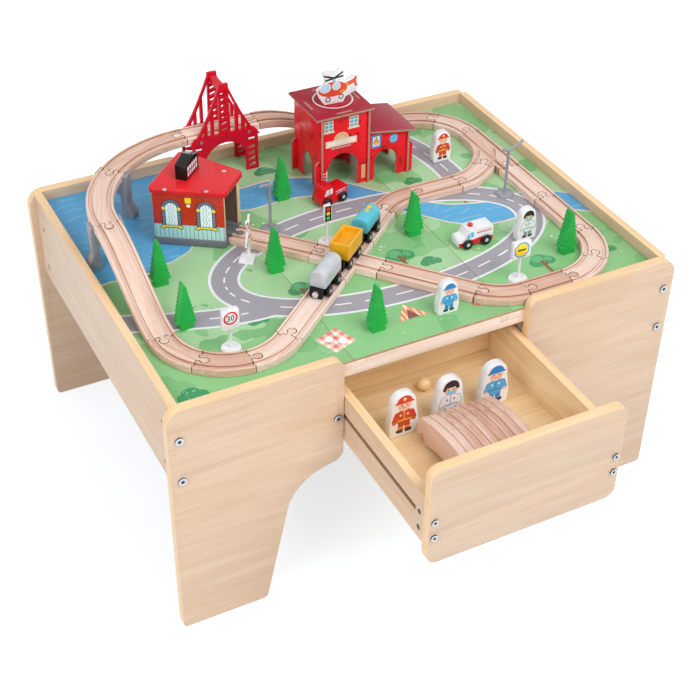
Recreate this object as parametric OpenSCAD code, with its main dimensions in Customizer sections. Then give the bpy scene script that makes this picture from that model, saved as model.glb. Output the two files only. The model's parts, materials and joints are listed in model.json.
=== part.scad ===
// Wooden train table with an open drawer, a railway and its play set.
// X is the width, the drawer opens towards -Y and Z is up from the floor. The origin is the
// middle of the floor area that the table covers with its drawer open.

/* [Table] */
// Width over the leg panels
table_w = 800; // [780:5:860]
// Depth over the leg panels
table_d = 600; // [590:5:660]
// Height of the top edge
table_h = 400; // [390:5:450]
// Thickness of the leg panels, the apron and the drawer front
panel_t = 15; // [12:0.5:18]
// Width of a leg panel
leg_w = 253; // [245:1:258]
// Width of a leg at the floor
foot_w = 131; // [110:1:150]
// Height of the lower inner corner of a leg panel
knee_z = 228; // [215:1:240]
// Sideways reach of the brow above the leg's inner curve
brow_w = 77; // [65:1:85]
// Drop of the brow over that reach
brow_drop = 19; // [12:1:26]
// Radius of the curve between brow and leg
knee_r = 75; // [50:1:85]
// Radius of the upper outer corners
crown_r = 25; // [15:1:30]
// Radius of the other panel corners
corner_r = 14; // [6:1:18]
// Thickness of the side panels
side_t = 12; // [10:0.5:15]
// Height of the side panels
side_h = 143; // [130:1:160]
// Distance of a side panel from the outer edge of the leg panels
side_inset = 9.5; // [6:0.5:14]
// Depth of the play surface below the top edge
lip = 17; // [12:1:22]
// Thickness of the play boards
board_t = 4; // [3:0.5:6]
// Gap round each play board
board_gap = 0.5; // [0.3:0.1:1]
// Height of the rails under the board edges
rail_h = 22; // [18:1:26]
// Thickness of these rails
rail_t = 18; // [14:1:22]
// Width of the batten under a board seam
batten_w = 36; // [28:1:44]
// Height of that batten
batten_h = 12; // [8:1:15]

/* [Drawer] */
// Distance of the drawer's top edge below the table's top edge
drawer_top = 11; // [6:1:20]
// Height of the drawer front
drawer_front_h = 160; // [150:1:166]
// Gap between the drawer front and a leg panel
drawer_gap = 1; // [0.6:0.1:2]
// Distance of the closed drawer front before the leg panels
drawer_proud = 0.6; // [0.4:0.1:2]
// Distance that the drawer stands open
drawer_open = 232; // [180:1:240]
// Depth of the drawer's inside
drawer_depth = 293; // [285:1:330]
// Thickness of the drawer's sides and back
drawer_t = 12; // [10:0.5:15]
// Height of the drawer's sides and back
drawer_side_h = 80; // [72:1:88]
// Height of the sides' lower edge above the front's lower edge
drawer_side_z = 29; // [20:1:34]
// Thickness of the drawer floor
drawer_floor_t = 5; // [4:0.5:6]
// Height of the floor above the sides' lower edge
drawer_floor_z = 7; // [5:0.5:10]
// Depth of the grooves that hold the floor
floor_groove = 4; // [3:0.5:5]
// Height of the runner groove above the sides' lower edge
runner_z = 40; // [34:1:50]
// Height of the runner groove
runner_h = 8; // [6:0.5:12]
// Depth of the runner groove
runner_d = 5; // [4:0.5:6]
// Length of the drawer side before the runner groove starts
runner_stop = 20; // [12:1:30]
// Gap between a drawer side and its runner panel
runner_gap = 4; // [2:0.5:6]
// Thickness of the runner panels
runner_panel_t = 12; // [10:0.5:15]
// Height of the runner panels
runner_panel_h = 75; // [60:1:85]
// Running clearance of the drawer on its runners
slide_gap = 0.3; // [0.2:0.05:0.6]

/* [Fasteners] */
// Diameter of a bolt head
head_d = 12; // [9:0.5:14]
// Height of a bolt head
head_h = 2; // [1.5:0.25:3]
// Diameter of a bolt
bolt_d = 6; // [5:0.5:7]
// Length of a frame bolt under its head
bolt_l = 52; // [45:1:60]
// Length of a drawer bolt under its head
drawer_bolt_l = 34; // [30:1:36]
// Diameter of a barrel nut
nut_d = 10; // [9:0.5:12]
// Distance of a barrel nut before the bolt's tip
nut_back = 8; // [6:0.5:10]
// Clearance of a bolt or nut in its bore
bore_gap = 0.25; // [0.15:0.05:0.5]

/* [Track] */
// Width of the track
track_w = 40; // [38:0.5:42]
// Thickness of the track
track_t = 12; // [11:0.5:14]
// Distance between the two wheel grooves
gauge = 26; // [25:0.5:27]
// Width of a wheel groove
groove_w = 6; // [5.5:0.25:6.5]
// Depth of a wheel groove
groove_d = 3; // [2.5:0.25:4]
// Chamfer along the track's edges
track_edge = 1; // [0.5:0.25:1.5]
// Gap between two joined pieces
joint_gap = 1; // [0.8:0.1:1.5]
// Width of a peg's neck
neck_w = 6; // [5:0.5:7]
// Distance of a peg's head from the end of its piece
neck_l = 10; // [9:0.5:12]
// Diameter of a peg's head
peg_d = 12; // [11:0.5:13]
// Clearance of a peg in its socket
peg_gap = 0.8; // [0.6:0.1:1]
// Middle radius of the small curves
small_r = 92; // [88:1:94]
// Middle radius of the raised curves
big_r = 193; // [188:1:195]
// Height of the raised track above the board
rise = 65; // [60:1:70]
// Length of the crossing piece
cross_len = 108; // [104:1:112]
// Straight stub of the switch's branch
branch_stub = 12; // [12:0.5:14]

/* [Layout] */
// Place of the crossing from the table's middle, in X
cross_x = -30; // [-34:1:-26]
// Place of the crossing from the table's middle, in Y
cross_y = -79; // [-82:1:-74]
// Heading of the train's line over the crossing in degrees
cross_turn = 40.2; // [39:0.1:41.5]
// Distance of the rear line from the apron
rear_inset = 27; // [27:1:32]
// Distance of the right-hand line from the side panel
right_inset = 52; // [48:1:56]
// Place of the bridge's middle from the table's middle, in X
bridge_x = -88; // [-92:1:-84]
// Length of the bridge deck
deck_len = 124; // [120:1:128]
// Length of the line between the crossing and the front curve
front_run = 147; // [138:1:149]
// Length of the line between the crossing and the middle curve
middle_run = 90; // [86:1:94]
// Length of the line between the crossing and the shed
shed_run = 129; // [126:1:132]
// Turn of a piece in a joint beside the shed line in degrees
shed_play = 2; // [1:0.1:2.5]
// Height above the front line at which the switch starts
switch_y = 40; // [34:1:46]

/* [Bridge] */
// Thickness of a bridge truss
truss_t = 5; // [4:0.5:5]
// Gap between a truss and the deck
truss_gap = 0.2; // [0.1:0.05:0.4]
// Height of the band that carries the deck
band_h = 13; // [11:0.5:15]
// Height of the tower's top above the board
tower_h = 161; // [150:1:170]
// Width of the tower
tower_w = 19; // [16:0.5:22]
// Width of a bridge leg
bridge_leg_w = 21; // [18:0.5:24]
// Width of the bars of the truss
bar_w = 5; // [4:0.25:6]
// Width of the link between the two towers
link_w = 9; // [6:0.5:12]
// Height of that link
link_h = 12; // [8:0.5:16]
// Distance of the link below the towers' tops
link_drop = 4; // [2:0.5:8]
// Diameter of the studs that pin a truss to the deck
stud_d = 5; // [4:0.25:6]
// Height of a stud before its truss
stud_h = 0.8; // [0.5:0.1:1.5]
// Distance of a stud from the bridge's middle
stud_x = 41; // [36:0.5:44]
// Length of a pier along the track
pier_l = 18; // [14:1:22]
// Width of a pier over its feet
pier_w = 66; // [60:1:68]

/* [Shed] */
// Thickness of the shed's base
shed_base_t = 12; // [11:0.5:14]
// Width of the shed's narrow end
shed_w = 62; // [58:1:66]
// Length of the shed
shed_l = 106; // [100:1:110]
// Slant of each side wall against the middle line in degrees
shed_slant = 12.5; // [10:0.5:14]
// Thickness of the shed's walls
shed_wall_t = 8; // [6:0.5:9]
// Height of the shed's walls
shed_wall_h = 77; // [70:1:84]
// Thickness of the shed's roof
shed_roof_t = 10; // [8:0.5:12]
// Reach of the roof past the walls
shed_eaves = 4; // [2:0.5:6]
// Length of the roof ventilator across the shed
vent_l = 45; // [40:1:50]
// Width of the roof ventilator
vent_w = 18; // [15:0.5:21]
// Height of the ventilator's ends
vent_h = 24; // [20:1:28]

/* [Fire station] */
// Thickness of the station's boards
wall_t = 3.5; // [3:0.25:4]
// Clearance in the slots of the boards
slot_gap = 0.3; // [0.2:0.05:0.5]
// Place of the left cross wall from the table's middle, in X
station_x = 24; // [20:1:28]
// Place of the front wall from the table's middle, in Y
station_y = 119; // [117:1:121]
// Distance between the left and the middle cross walls
main_w = 82; // [78:1:84]
// Distance between the middle and the right cross walls
wing_w = 72; // [70:1:76]
// Distance between the front and the back walls
station_d = 86; // [82:1:88]
// Height of the main block's walls
main_h = 129; // [122:1:134]
// Height of the wing at the main block
wing_h = 88; // [84:1:92]
// Drop of the wing's roof over its width
wing_drop = 14; // [10:1:18]
// Height of the slots that join the boards
lap_h = 56; // [53:1:59]
// Reach of a long wall past its last slots
lap_tab = 10; // [8:0.5:12]
// Reach of a cross wall past the front and back walls
cross_tab = 6; // [5:0.5:7]
// Reach of the roofs past the walls
roof_eaves = 8; // [7:0.5:10]
// Length of the tabs in the roof slots
roof_tab = 26; // [20:1:30]

/* [Vehicles] */
// Diameter of the wheels
wheel_d = 17; // [16:0.25:18]
// Width of a wheel
wheel_w = 4; // [3.5:0.25:4.5]
// Diameter of an axle
axle_d = 3; // [2.5:0.25:3.5]
// Clearance of an axle in its bore, and of a wheel on its track
axle_gap = 0.3; // [0.25:0.05:0.4]
// Length of a wagon's chassis
chassis_l = 69; // [67:0.5:71]
// Width of a wagon's chassis
chassis_w = 20; // [18:0.5:20]
// Height of a wagon's chassis
chassis_h = 13.5; // [13.5:0.25:15]
// Distance of a chassis above the track
chassis_z = 2; // [1.5:0.25:3]
// Distance between a wagon's axles
wagon_base = 32; // [30:0.5:36]
// Height of a wagon's body
wagon_h = 26; // [24:0.5:28]
// Width of the grey tank
grey_w = 25; // [23:0.5:28]
// Length of the grey tank
grey_l = 57; // [54:0.5:62]
// Width of the yellow hopper
hopper_w = 32; // [29:0.5:33]
// Length of the yellow hopper
hopper_l = 53; // [50:0.5:58]
// Thickness of the hopper's walls
hopper_wall = 4; // [3.5:0.25:5]
// Depth of the hopper's tray
tray_d = 11; // [9:0.5:14]
// Width of the blue tank
blue_w = 28; // [26:0.5:30]
// Length of the blue tank
blue_l = 49; // [46:0.5:54]
// Diameter of the blue tank's knobs
knob_d = 7; // [6:0.5:8]
// Distance between the blue tank's knobs
knob_pitch = 10; // [9:0.5:12]
// Diameter of a coupling magnet
magnet_d = 9; // [8:0.5:10]
// Thickness of a coupling magnet
magnet_t = 3; // [2.5:0.25:3.5]
// Gap between two coupled magnets
magnet_gap = 0.4; // [0.3:0.05:0.6]
// Place of the middle wagon along its line from the crossing
train_s = -5; // [-8:0.5:0]
// Width of a road vehicle's body
car_w = 22; // [20:0.5:23]
// Distance between a road vehicle's axles
car_base = 32; // [30:0.5:34]
// Height of a road vehicle's body above the board
car_z = 4; // [3:0.25:5]

/* [Play pieces] */
// Height of a tree
tree_h = 72; // [66:1:78]
// Width of a tree
tree_w = 28; // [25:1:31]
// Thickness of a tree
tree_t = 16; // [14:0.5:18]
// Height of a tree's foot under its branches
tree_foot_h = 9; // [6:0.5:12]
// Width of that foot
tree_foot_w = 20; // [16:0.5:22]
// Number of branch tiers on a tree
tiers = 9; // [7:1:11]
// Depth of the notch between two tiers as a share of the width there
tier_notch = 0.2; // [0.1:0.01:0.3]
// Height of a figure on the board
figure_h = 54; // [50:1:58]
// Width of a figure on the board
figure_w = 34; // [31:0.5:36]
// Thickness of a figure
figure_t = 14; // [12:0.5:15]
// Size of the drawer's figures against those on the board
stored_scale = 1.38; // [1.2:0.01:1.4]
// Diameter of the wooden ball
ball_d = 20; // [16:1:24]
// Number of curved tracks kept in the drawer
spare_tracks = 9; // [6:1:9]
// Distance of the drawer's figures behind its front
stored_back = 185; // [180:1:190]
// Distance between the drawer's figures
stored_pitch = 73; // [66:1:78]
// Gap between pieces kept in the drawer
stored_gap = 0.4; // [0.3:0.1:0.6]
// Diameter of a sign's or a lamp's base
post_base_d = 30; // [26:0.5:31]
// Height of that base
post_base_h = 4; // [3:0.5:5]
// Diameter of a post
post_d = 4.5; // [4:0.25:5.5]
// Height of a road sign
sign_h = 68; // [62:1:74]
// Width of the zone sign's plate
zone_w = 25; // [22:0.5:28]
// Height of the zone sign's plate
zone_h = 32; // [28:1:36]
// Width of the stop sign's plate
stop_w = 30; // [24:0.5:32]
// Height of the stop sign's plate
stop_h = 29; // [24:1:32]
// Width of the traffic light's head
light_w = 12; // [10:0.5:16]
// Height of the traffic light's head
light_h = 28; // [24:1:34]
// Width of the crossing sign's arms
arm_w = 5.5; // [5:0.25:7]
// Thickness of the crossing sign's arms
arm_t = 3; // [2.5:0.25:4]
// Length of the crossing sign's arms
arm_l = 50; // [44:1:54]
// Tilt of the crossing sign's arms
arm_tilt = 26; // [22:1:30]
// Height of a street lamp's post
lamp_h = 81; // [74:1:88]

/* [Hidden] */
$fn = 48;
arc_steps = 8;
maple = "#E6CFA8";
beech = "#DDBB9E";
pine = "#E9D3A6";
steel = "#C4C6C8";
red = "#D9262B";
roof_red = "#A03645";
crimson = "#C8102E";
grey = "#9A9AA0";
black = "#1A1A1C";
white = "#F4F4F2";

// Table
table_y = (drawer_open + drawer_proud) / 2;
half_w = table_w / 2;
half_d = table_d / 2;
back_y = half_d - panel_t;
leg_in = half_w - leg_w;
side_x = half_w - side_inset - side_t / 2;
in_x = half_w - side_inset - side_t;
board_z = table_h - lip;
board_low = board_z - board_t;
board_w = 2 * in_x / 3;
seam_x = board_w / 2;
foot_r = 8;
brow = [leg_in + brow_w, knee_z - brow_drop];
side_bolt_z = [table_h - 50, table_h - 120];
rail_notch = 0.3;
end_gap = 0.4;

// Drawer
drawer_w = 2 * (leg_in - drawer_gap);
front_y = -half_d - drawer_proud - drawer_open;
front_z = table_h - drawer_top - drawer_front_h;
box_y = front_y + panel_t;
box_back = box_y + drawer_depth;
box_in = drawer_w / 2 - drawer_t;
box_z = front_z + drawer_side_z;
floor_z = box_z + drawer_floor_z;
floor_top = floor_z + drawer_floor_t;
floor_gap = 0.2;
runner_x = drawer_w / 2 + runner_gap;
runner_mid_z = box_z + runner_z + runner_h / 2;
runner_front = -back_y - drawer_proud + runner_stop + 2;
drawer_bolt_z = [box_z + 18, box_z + 30 + runner_h + drawer_floor_z];
drawer_bolt_d = bolt_d - 2;
drawer_nut_d = nut_d - 2;
bolt_side = drawer_w / 2 - drawer_t + drawer_bolt_d / 2 + 2;

// Railway: a pose is [x, y, heading], measured from the table's middle. Eight curves make a circle
bend = 360 / 8;
merge_trim = 7;
line_y = back_y - rear_inset;
right_x = in_x - right_inset;
deck_left = bridge_x - deck_len / 2;
deck_right = bridge_x + deck_len / 2;
left_x = deck_left - big_r;
arm = cross_len / 2;
loose = (3 * bend - 90 - cross_turn) / 4;
cross_pose = [cross_x, cross_y, cross_turn];
loop_from = [0, 0, -90];
loop_1 = walk(turn(loop_from, -loose), [0, small_r, bend]);
loop_2 = walk(turn(loop_1, -loose), [0, small_r, bend]);
loop_3 = walk(turn(loop_2, -loose), [0, small_r, bend]);
train_run = (cross_x - left_x - loop_3.x) / cos(cross_turn) - arm;
train_from = walk(cross_pose, [-arm - train_run, 0, 0]);
ramp_end = [left_x, train_from.y - loop_3.y, -90];
ramp_down = [left_x, line_y - big_r, -90];
left_ramp_l = ramp_down.y - ramp_end.y;
middle_from = walk(cross_pose, [arm, 0, 0]);
middle_end = walk(middle_from, [middle_run, 0, 0]);
middle_play = (bend - cross_turn) / 2;
middle_curve = walk(turn(middle_end, middle_play), [0, small_r, -bend]);
branch_x = small_r * (1 - cos(bend)) + branch_stub * sin(bend);
branch_y = small_r * sin(bend) + branch_stub * cos(bend);
join_x = right_x - branch_x - small_r * sin(bend);
join_from = [middle_curve.x, middle_curve.y, 0];
merge_y = join_from.y + small_r * (1 - cos(bend)) + branch_y;
switch_top = line_y - small_r;
front_from = walk([cross_x, cross_y, cross_turn - 90], [arm, 0, 0]);
front_end = walk(front_from, [front_run, 0, 0]);
front_play = (90 - cross_turn - bend) / 2;
front_curve = walk(turn(front_end, front_play), [0, small_r, bend]);
front_line = [front_curve.x, front_curve.y, 0];
corner_from = [right_x - small_r, front_line.y, 0];
right_from = [right_x, front_line.y + small_r, 90];
right_run = (switch_y - right_from.y) / 2;
shed_line = walk(turn([cross_x, cross_y, cross_turn + 90], 0), [arm, 0, 0]);
shed_end = walk(turn(shed_line, shed_play), [shed_run, 0, 0]);
shed_pose = turn(shed_end, shed_play);
rear_from = [right_x - small_r, line_y, 180];
short_rear = 40;
right_ramp_l = rear_from.x - short_rear - deck_right;

// Bridge
band_low = rise - 3;
truss_half = deck_len / 2 - 2;

// Train and road vehicles
wheel_r = wheel_d / 2;
axle_z = track_t - groove_d + axle_gap + wheel_r;
wagon_pitch = chassis_l + 2 * magnet_t + magnet_gap;
wagon_z = track_t + chassis_z + chassis_h;
coupling_z = track_t + chassis_z + chassis_h / 2;
road_axle_z = axle_gap + wheel_r;
road_gauge = car_w + wheel_w + 1;
truck_pose = [24.5, 88, 16];
ambulance_pose = [165, -111, 0];

// Station
station_mid = station_x + main_w;
station_end = station_mid + wing_w;
wall_xs = [station_x, station_mid, station_end];
wall_hs = [main_h, main_h, wing_h - wing_drop * (wing_w / (wing_w + lap_tab))];
slot_w = wall_t + 2 * slot_gap;
wing_turn = atan(wing_drop / (wing_w + lap_tab));

// Places of the loose pieces on the board, from the table's middle
trees = [[-294, -5], [-300, -117], [-132, -48], [-39, 129], [97, -50], [-66, -238], [279, -193]];
figures = [[246, 125], [243, -134], [41, -245]];
stored_figures_x = [for (i = [-1 : 1]) i * stored_pitch - 2];
stored_figures_y = box_y + stored_back;
zone_sign = [-264, -192];
stop_sign = [174, -224];
cross_sign = [-155, -2, 52];
cross_z = sign_h - arm_l / 2 + 2;
light_post = [-32, -17];
lamps = [[-93, 54, 215], [284, -14, 0]];

// Outlines and poses

function unit(v) = v / norm(v);

// The arc that rounds corner b between its neighbours a and c, where b is [x, y, radius]
function corner_arc(a, b, c) =
    let (
        tip = [b.x, b.y],
        u = unit([a.x, a.y] - tip),
        v = unit([c.x, c.y] - tip),
        half = acos(u * v) / 2,
        mid = tip + unit(u + v) * b.z / sin(half),
        p = tip + u * b.z / tan(half) - mid,
        q = tip + v * b.z / tan(half) - mid,
        a0 = atan2(p.y, p.x),
        sweep = (atan2(q.y, q.x) - a0 + 540) % 360 - 180
    )
    b.z == 0 ? [tip] : [for (i = [0 : arc_steps])
        mid + b.z * [cos(a0 + sweep * i / arc_steps), sin(a0 + sweep * i / arc_steps)]];

// A closed outline through corners [x, y, radius]
function rounded(pts) =
    let (n = len(pts))
    [for (i = [0 : n - 1]) each corner_arc(pts[(i + n - 1) % n], pts[i], pts[(i + 1) % n])];

function box_corners(x0, y0, x1, y1, r) = [[x0, y0, r], [x1, y0, r], [x1, y1, r], [x0, y1, r]];

function turn(p, a) = [p.x, p.y, p.z + a];

// The pose at the end of a piece [length, radius, bend]; a bend to the left is positive
function walk(p, piece) =
    let (r = piece.y * sign(piece.z), h = p.z + piece.z)
    piece.z == 0
        ? [p.x + piece.x * cos(p.z), p.y + piece.x * sin(p.z), p.z]
        : [p.x + r * (sin(h) - sin(p.z)), p.y - r * (cos(h) - cos(p.z)), h];

module on_table() {
    translate([0, table_y, 0]) children();
}

module on_board() {
    translate([0, table_y, board_z]) children();
}

module pose(p) {
    translate([p.x, p.y, 0]) rotate(p.z) children();
}

// Stands an X-Z outline upright, with its thickness shared before and behind Y = 0
module upright(t) {
    rotate([90, 0, 0]) linear_extrude(t, center = true) children();
}

// A cuboid between two corners
module block(a, b) {
    translate(a) cube(b - a);
}

// Turns +Z to the inside of the table at the rear (end = 1) or the front (end = -1)
module inwards(end) {
    rotate([end * 90, 0, 0]) children();
}

// Table

module leg_outline(side) {
    polygon(rounded([
        [side * leg_in, table_h, corner_r],
        [side * half_w, table_h, crown_r],
        [side * half_w, 0, foot_r],
        [side * (half_w - foot_w), 0, foot_r],
        [side * brow.x, brow.y, knee_r],
        [side * leg_in, knee_z, corner_r + 4]
    ]));
}

function bolt_spots(side) = concat(
    [for (z = side_bolt_z) [side * side_x, z]],
    [[side * (runner_x + runner_panel_t / 2), runner_mid_z]]
);

module frame_bore(spot, end, long) {
    translate([spot.x, end * half_d, spot.y])
        inwards(end)
            translate([0, 0, -1]) cylinder(d = bolt_d + 2 * bore_gap, h = long + 1);
}

module nut_bore(spot, end, wide) {
    translate([spot.x, end * (half_d - bolt_l + nut_back), spot.y])
        rotate([0, 90, 0]) cylinder(d = nut_d + 2 * bore_gap, h = wide, center = true);
}

module leg_panel(side, end) {
    color(maple) on_table() difference() {
        translate([0, end * (half_d - panel_t / 2), 0]) upright(panel_t) leg_outline(side);
        for (spot = bolt_spots(side)) frame_bore(spot, end, panel_t + 1);
    }
}

module leg_front_left() leg_panel(-1, -1);
module leg_front_right() leg_panel(1, -1);
module leg_rear_left() leg_panel(-1, 1);
module leg_rear_right() leg_panel(1, 1);

module rear_apron() {
    color(maple) on_table()
        translate([0, half_d - panel_t / 2, 0]) upright(panel_t)
            polygon(rounded(box_corners(-drawer_w / 2, front_z, drawer_w / 2, table_h, corner_r)));
}

module side_panel(side) {
    color(maple) on_table() difference() {
        translate([side * side_x - side_t / 2, -back_y, table_h - side_h])
            cube([side_t, 2 * back_y, side_h]);
        for (end = [-1, 1], z = side_bolt_z) {
            frame_bore([side * side_x, z], end, bolt_l + 1);
            nut_bore([side * side_x, z], end, side_t + 1);
        }
    }
}

module side_panel_left() side_panel(-1);
module side_panel_right() side_panel(1);

// Rails along the front and rear legs, notched for the seam battens, and ledgers along the sides
module board_rails() {
    low = board_low - rail_h;
    color(pine) on_table() {
        for (end = [-1, 1]) difference() {
            translate([-in_x, end * (back_y - rail_t / 2) - rail_t / 2, low])
                cube([2 * in_x, rail_t, rail_h]);
            for (x = [-seam_x, seam_x])
                translate([x - batten_w / 2 - rail_notch, end * back_y - 2 * rail_t,
                           board_low - batten_h - rail_notch])
                    cube([batten_w + 2 * rail_notch, 4 * rail_t, 2 * batten_h]);
        }
        for (side = [-1, 1])
            translate([side * (in_x - rail_t / 2) - rail_t / 2, rail_t + end_gap - back_y, low])
                cube([rail_t, 2 * (back_y - rail_t - end_gap), rail_h]);
    }
}

module seam_battens() {
    color(pine) on_table()
        for (x = [-seam_x, seam_x])
            translate([x - batten_w / 2, -back_y, board_low - batten_h])
                cube([batten_w, 2 * back_y, batten_h]);
}

module play_boards() {
    color("#A5D296") on_table()
        for (i = [-1 : 1])
            translate([(i - 0.5) * board_w + board_gap / 2, -back_y, board_low])
                cube([board_w - board_gap, 2 * back_y - board_gap, board_t]);
}

module runner_panels() {
    color(maple) on_table() for (side = [-1, 1]) difference() {
        translate([side * (runner_x + runner_panel_t / 2) - runner_panel_t / 2, -back_y,
                   runner_mid_z - runner_panel_h / 2])
            cube([runner_panel_t, 2 * back_y, runner_panel_h]);
        for (end = [-1, 1]) {
            frame_bore(bolt_spots(side)[2], end, bolt_l + 1);
            nut_bore(bolt_spots(side)[2], end, runner_panel_t + 1);
        }
    }
}

// Strips on the runner panels that carry the drawer by the grooves in its sides
module drawer_runners() {
    wide = runner_gap + runner_d - slide_gap;
    high = runner_h - 2 * slide_gap;
    color(pine) on_table() for (side = [-1, 1])
        translate([side * (runner_x - wide / 2) - wide / 2, runner_front, runner_mid_z - high / 2])
            cube([wide, back_y - end_gap - runner_front, high]);
}

// A bolt along +Z with its head below Z = 0, and the barrel nut that it is screwed into
module bolt(d, long, head) {
    difference() {
        translate([0, 0, -head_h]) cylinder(d = head, h = head_h);
        translate([0, 0, -head_h - 1]) cylinder(d = head / 2, h = head_h, $fn = 6);
    }
    cylinder(d = d, h = long);
}

module barrel_nut(d, long, hole) {
    difference() {
        rotate([0, 90, 0]) cylinder(d = d, h = long, center = true);
        cylinder(d = hole + 2 * bore_gap, h = 2 * d, center = true);
    }
}

module frame_bolts() {
    color(steel) on_table()
        for (side = [-1, 1], end = [-1, 1], spot = bolt_spots(side))
            translate([spot.x, end * half_d, spot.y]) inwards(end) {
                bolt(bolt_d, bolt_l, head_d);
                translate([0, 0, bolt_l - nut_back]) barrel_nut(nut_d, side_t - 2, bolt_d);
            }
}

// Drawer

module drawer_bores(long) {
    for (side = [-1, 1], z = drawer_bolt_z)
        translate([side * bolt_side, front_y, z]) inwards(-1)
            translate([0, 0, -1]) cylinder(d = drawer_bolt_d + 2 * bore_gap, h = long + 1);
}

module floor_slab(grow) {
    reach = floor_groove - floor_gap + grow;
    block([-box_in - reach, box_y - reach, floor_z - grow],
          [box_in + reach, box_back + reach, floor_top + grow]);
}

module drawer_front() {
    color(maple) on_table() difference() {
        translate([0, front_y + panel_t / 2, 0]) upright(panel_t)
            polygon(rounded(box_corners(-drawer_w / 2, front_z, drawer_w / 2,
                                        front_z + drawer_front_h, corner_r + 2)));
        drawer_bores(panel_t + 1);
        floor_slab(floor_gap);
    }
}

module drawer_sides() {
    long = drawer_depth + drawer_t;
    color(maple) on_table() for (side = [-1, 1]) difference() {
        translate([side * (box_in + drawer_t / 2) - drawer_t / 2, box_y, box_z])
            cube([drawer_t, long, drawer_side_h]);
        translate([side * drawer_w / 2 - runner_d, box_y + runner_stop, box_z + runner_z])
            cube([2 * runner_d, long, runner_h]);
        drawer_bores(drawer_bolt_l + 1);
        for (z = drawer_bolt_z)
            translate([side * (box_in + drawer_t / 2), front_y + drawer_bolt_l - nut_back, z])
                rotate([0, 90, 0])
                    cylinder(d = drawer_nut_d + 2 * bore_gap, h = drawer_t + 1, center = true);
        floor_slab(floor_gap);
    }
}

module drawer_back() {
    color(maple) on_table() difference() {
        block([-box_in + floor_gap, box_back, box_z],
              [box_in - floor_gap, box_back + drawer_t, box_z + drawer_side_h]);
        floor_slab(floor_gap);
    }
}

module drawer_floor() {
    color(pine) on_table() floor_slab(0);
}

module drawer_bolts() {
    color(steel) on_table() for (side = [-1, 1], z = drawer_bolt_z)
        translate([side * bolt_side, front_y, z]) inwards(-1) {
            bolt(drawer_bolt_d, drawer_bolt_l, head_d - 2);
            translate([side * (box_in + drawer_t / 2 - bolt_side), 0, drawer_bolt_l - nut_back])
                barrel_nut_off(side);
        }
}

// The drawer's barrel nut, whose thread lies off its middle so that the bolt clears the runner groove
module barrel_nut_off(side) {
    off = side * (bolt_side - box_in - drawer_t / 2);
    difference() {
        rotate([0, 90, 0]) cylinder(d = drawer_nut_d, h = drawer_t, center = true);
        translate([off, 0, 0])
            cylinder(d = drawer_bolt_d + 2 * bore_gap, h = 2 * drawer_nut_d, center = true);
    }
}

// Large curves put away on edge, side by side, with their bow upwards
module spare_curves() {
    pitch = track_t + stored_gap;
    foot = (big_r - track_w / 2) * cos(bend / 2);
    half = (big_r + track_w / 2) * sin(bend / 2);
    color(beech) on_table()
        translate([-3 - (spare_tracks - 1) / 2 * pitch, box_y + half + stored_gap,
                   floor_top + stored_gap - foot])
            for (i = [0 : spare_tracks - 1])
                translate([i * pitch - track_t / 2, 0, 0])
                    rotate([90, 0, 90]) mirror([1, 0, 0]) rotate(180 - bend / 2)
                        translate([0, -big_r, 0]) curved_track(big_r, bend);
}

module stored_figures() {
    color(white) on_table() for (x = stored_figures_x)
        translate([x, stored_figures_y, floor_top]) scale(stored_scale) upright(figure_t / stored_scale)
            figure_outline();
}

module wooden_ball() {
    color(pine) on_table()
        translate([0, box_back - ball_d * 2, floor_top + ball_d / 2 + floor_gap]) sphere(d = ball_d);
}

// Railway

// Section across a track: two wheel grooves in the top and chamfered edges
module track_section(grooved) {
    w = track_w / 2;
    t = track_t;
    c = track_edge;
    a = gauge / 2 - groove_w / 2;
    b = gauge / 2 + groove_w / 2;
    d = t - groove_d;
    right = grooved
        ? [[w - c, t], [b, t], [b, d], [a, d], [a, t]]
        : [[w - c, t]];
    left = [for (i = [len(right) - 1 : -1 : 0]) [-right[i].x, right[i].y]];
    polygon(concat([[-w + c, 0], [w - c, 0], [w, c], [w, t - c]], right, left, [[-w, t - c], [-w, c]]));
}

module rail_blank(long, grooved = true) {
    rotate([90, 0, 90]) linear_extrude(long) track_section(grooved);
}

// The peg at the end of a piece, in the frame of the joint
module peg() {
    translate([-joint_gap, -neck_w / 2, 0]) cube([neck_l + joint_gap, neck_w, track_t]);
    translate([neck_l, 0, 0]) cylinder(d = peg_d, h = track_t);
}

module socket() {
    wide = neck_w + 2 * peg_gap;
    translate([-joint_gap, -wide / 2, -1]) cube([neck_l + joint_gap, wide, track_t + 2]);
    translate([neck_l, 0, -1]) cylinder(d = peg_d + 2 * peg_gap, h = track_t + 2);
}

module straight_track(long) {
    difference() {
        union() {
            translate([joint_gap / 2, 0, 0]) rail_blank(long - joint_gap);
            translate([long, 0, 0]) peg();
        }
        socket();
    }
}

module left_curve(r, a) {
    trim = asin(joint_gap / 2 / r);
    difference() {
        union() {
            translate([0, r, 0]) rotate(trim - 90) rotate_extrude(angle = a - 2 * trim)
                translate([r, 0]) track_section(true);
            pose(walk([0, 0, 0], [0, r, a])) peg();
        }
        socket();
    }
}

module curved_track(r, a) {
    if (a > 0) left_curve(r, a);
    else mirror([0, 1, 0]) left_curve(r, -a);
}

module groove_cut(long) {
    for (s = [-1, 1])
        translate([-1, s * gauge / 2 - groove_w / 2, track_t - groove_d])
            cube([long + 2, groove_w, groove_d + 1]);
}

module straight_tracks() {
    color(beech) on_board() {
        pose(train_from) straight_track(train_run);
        pose(middle_from) straight_track(middle_run);
        pose(join_from) straight_track(join_x - join_from.x);
        pose(front_from) straight_track(front_run);
        pose(front_line) straight_track(corner_from.x - front_line.x);
        for (i = [0, 1]) pose(walk(right_from, [i * right_run, 0, 0])) straight_track(right_run);
        pose(rear_from) straight_track(short_rear);
        pose(turn(shed_end, 180)) straight_track(shed_run);
    }
}

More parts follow.
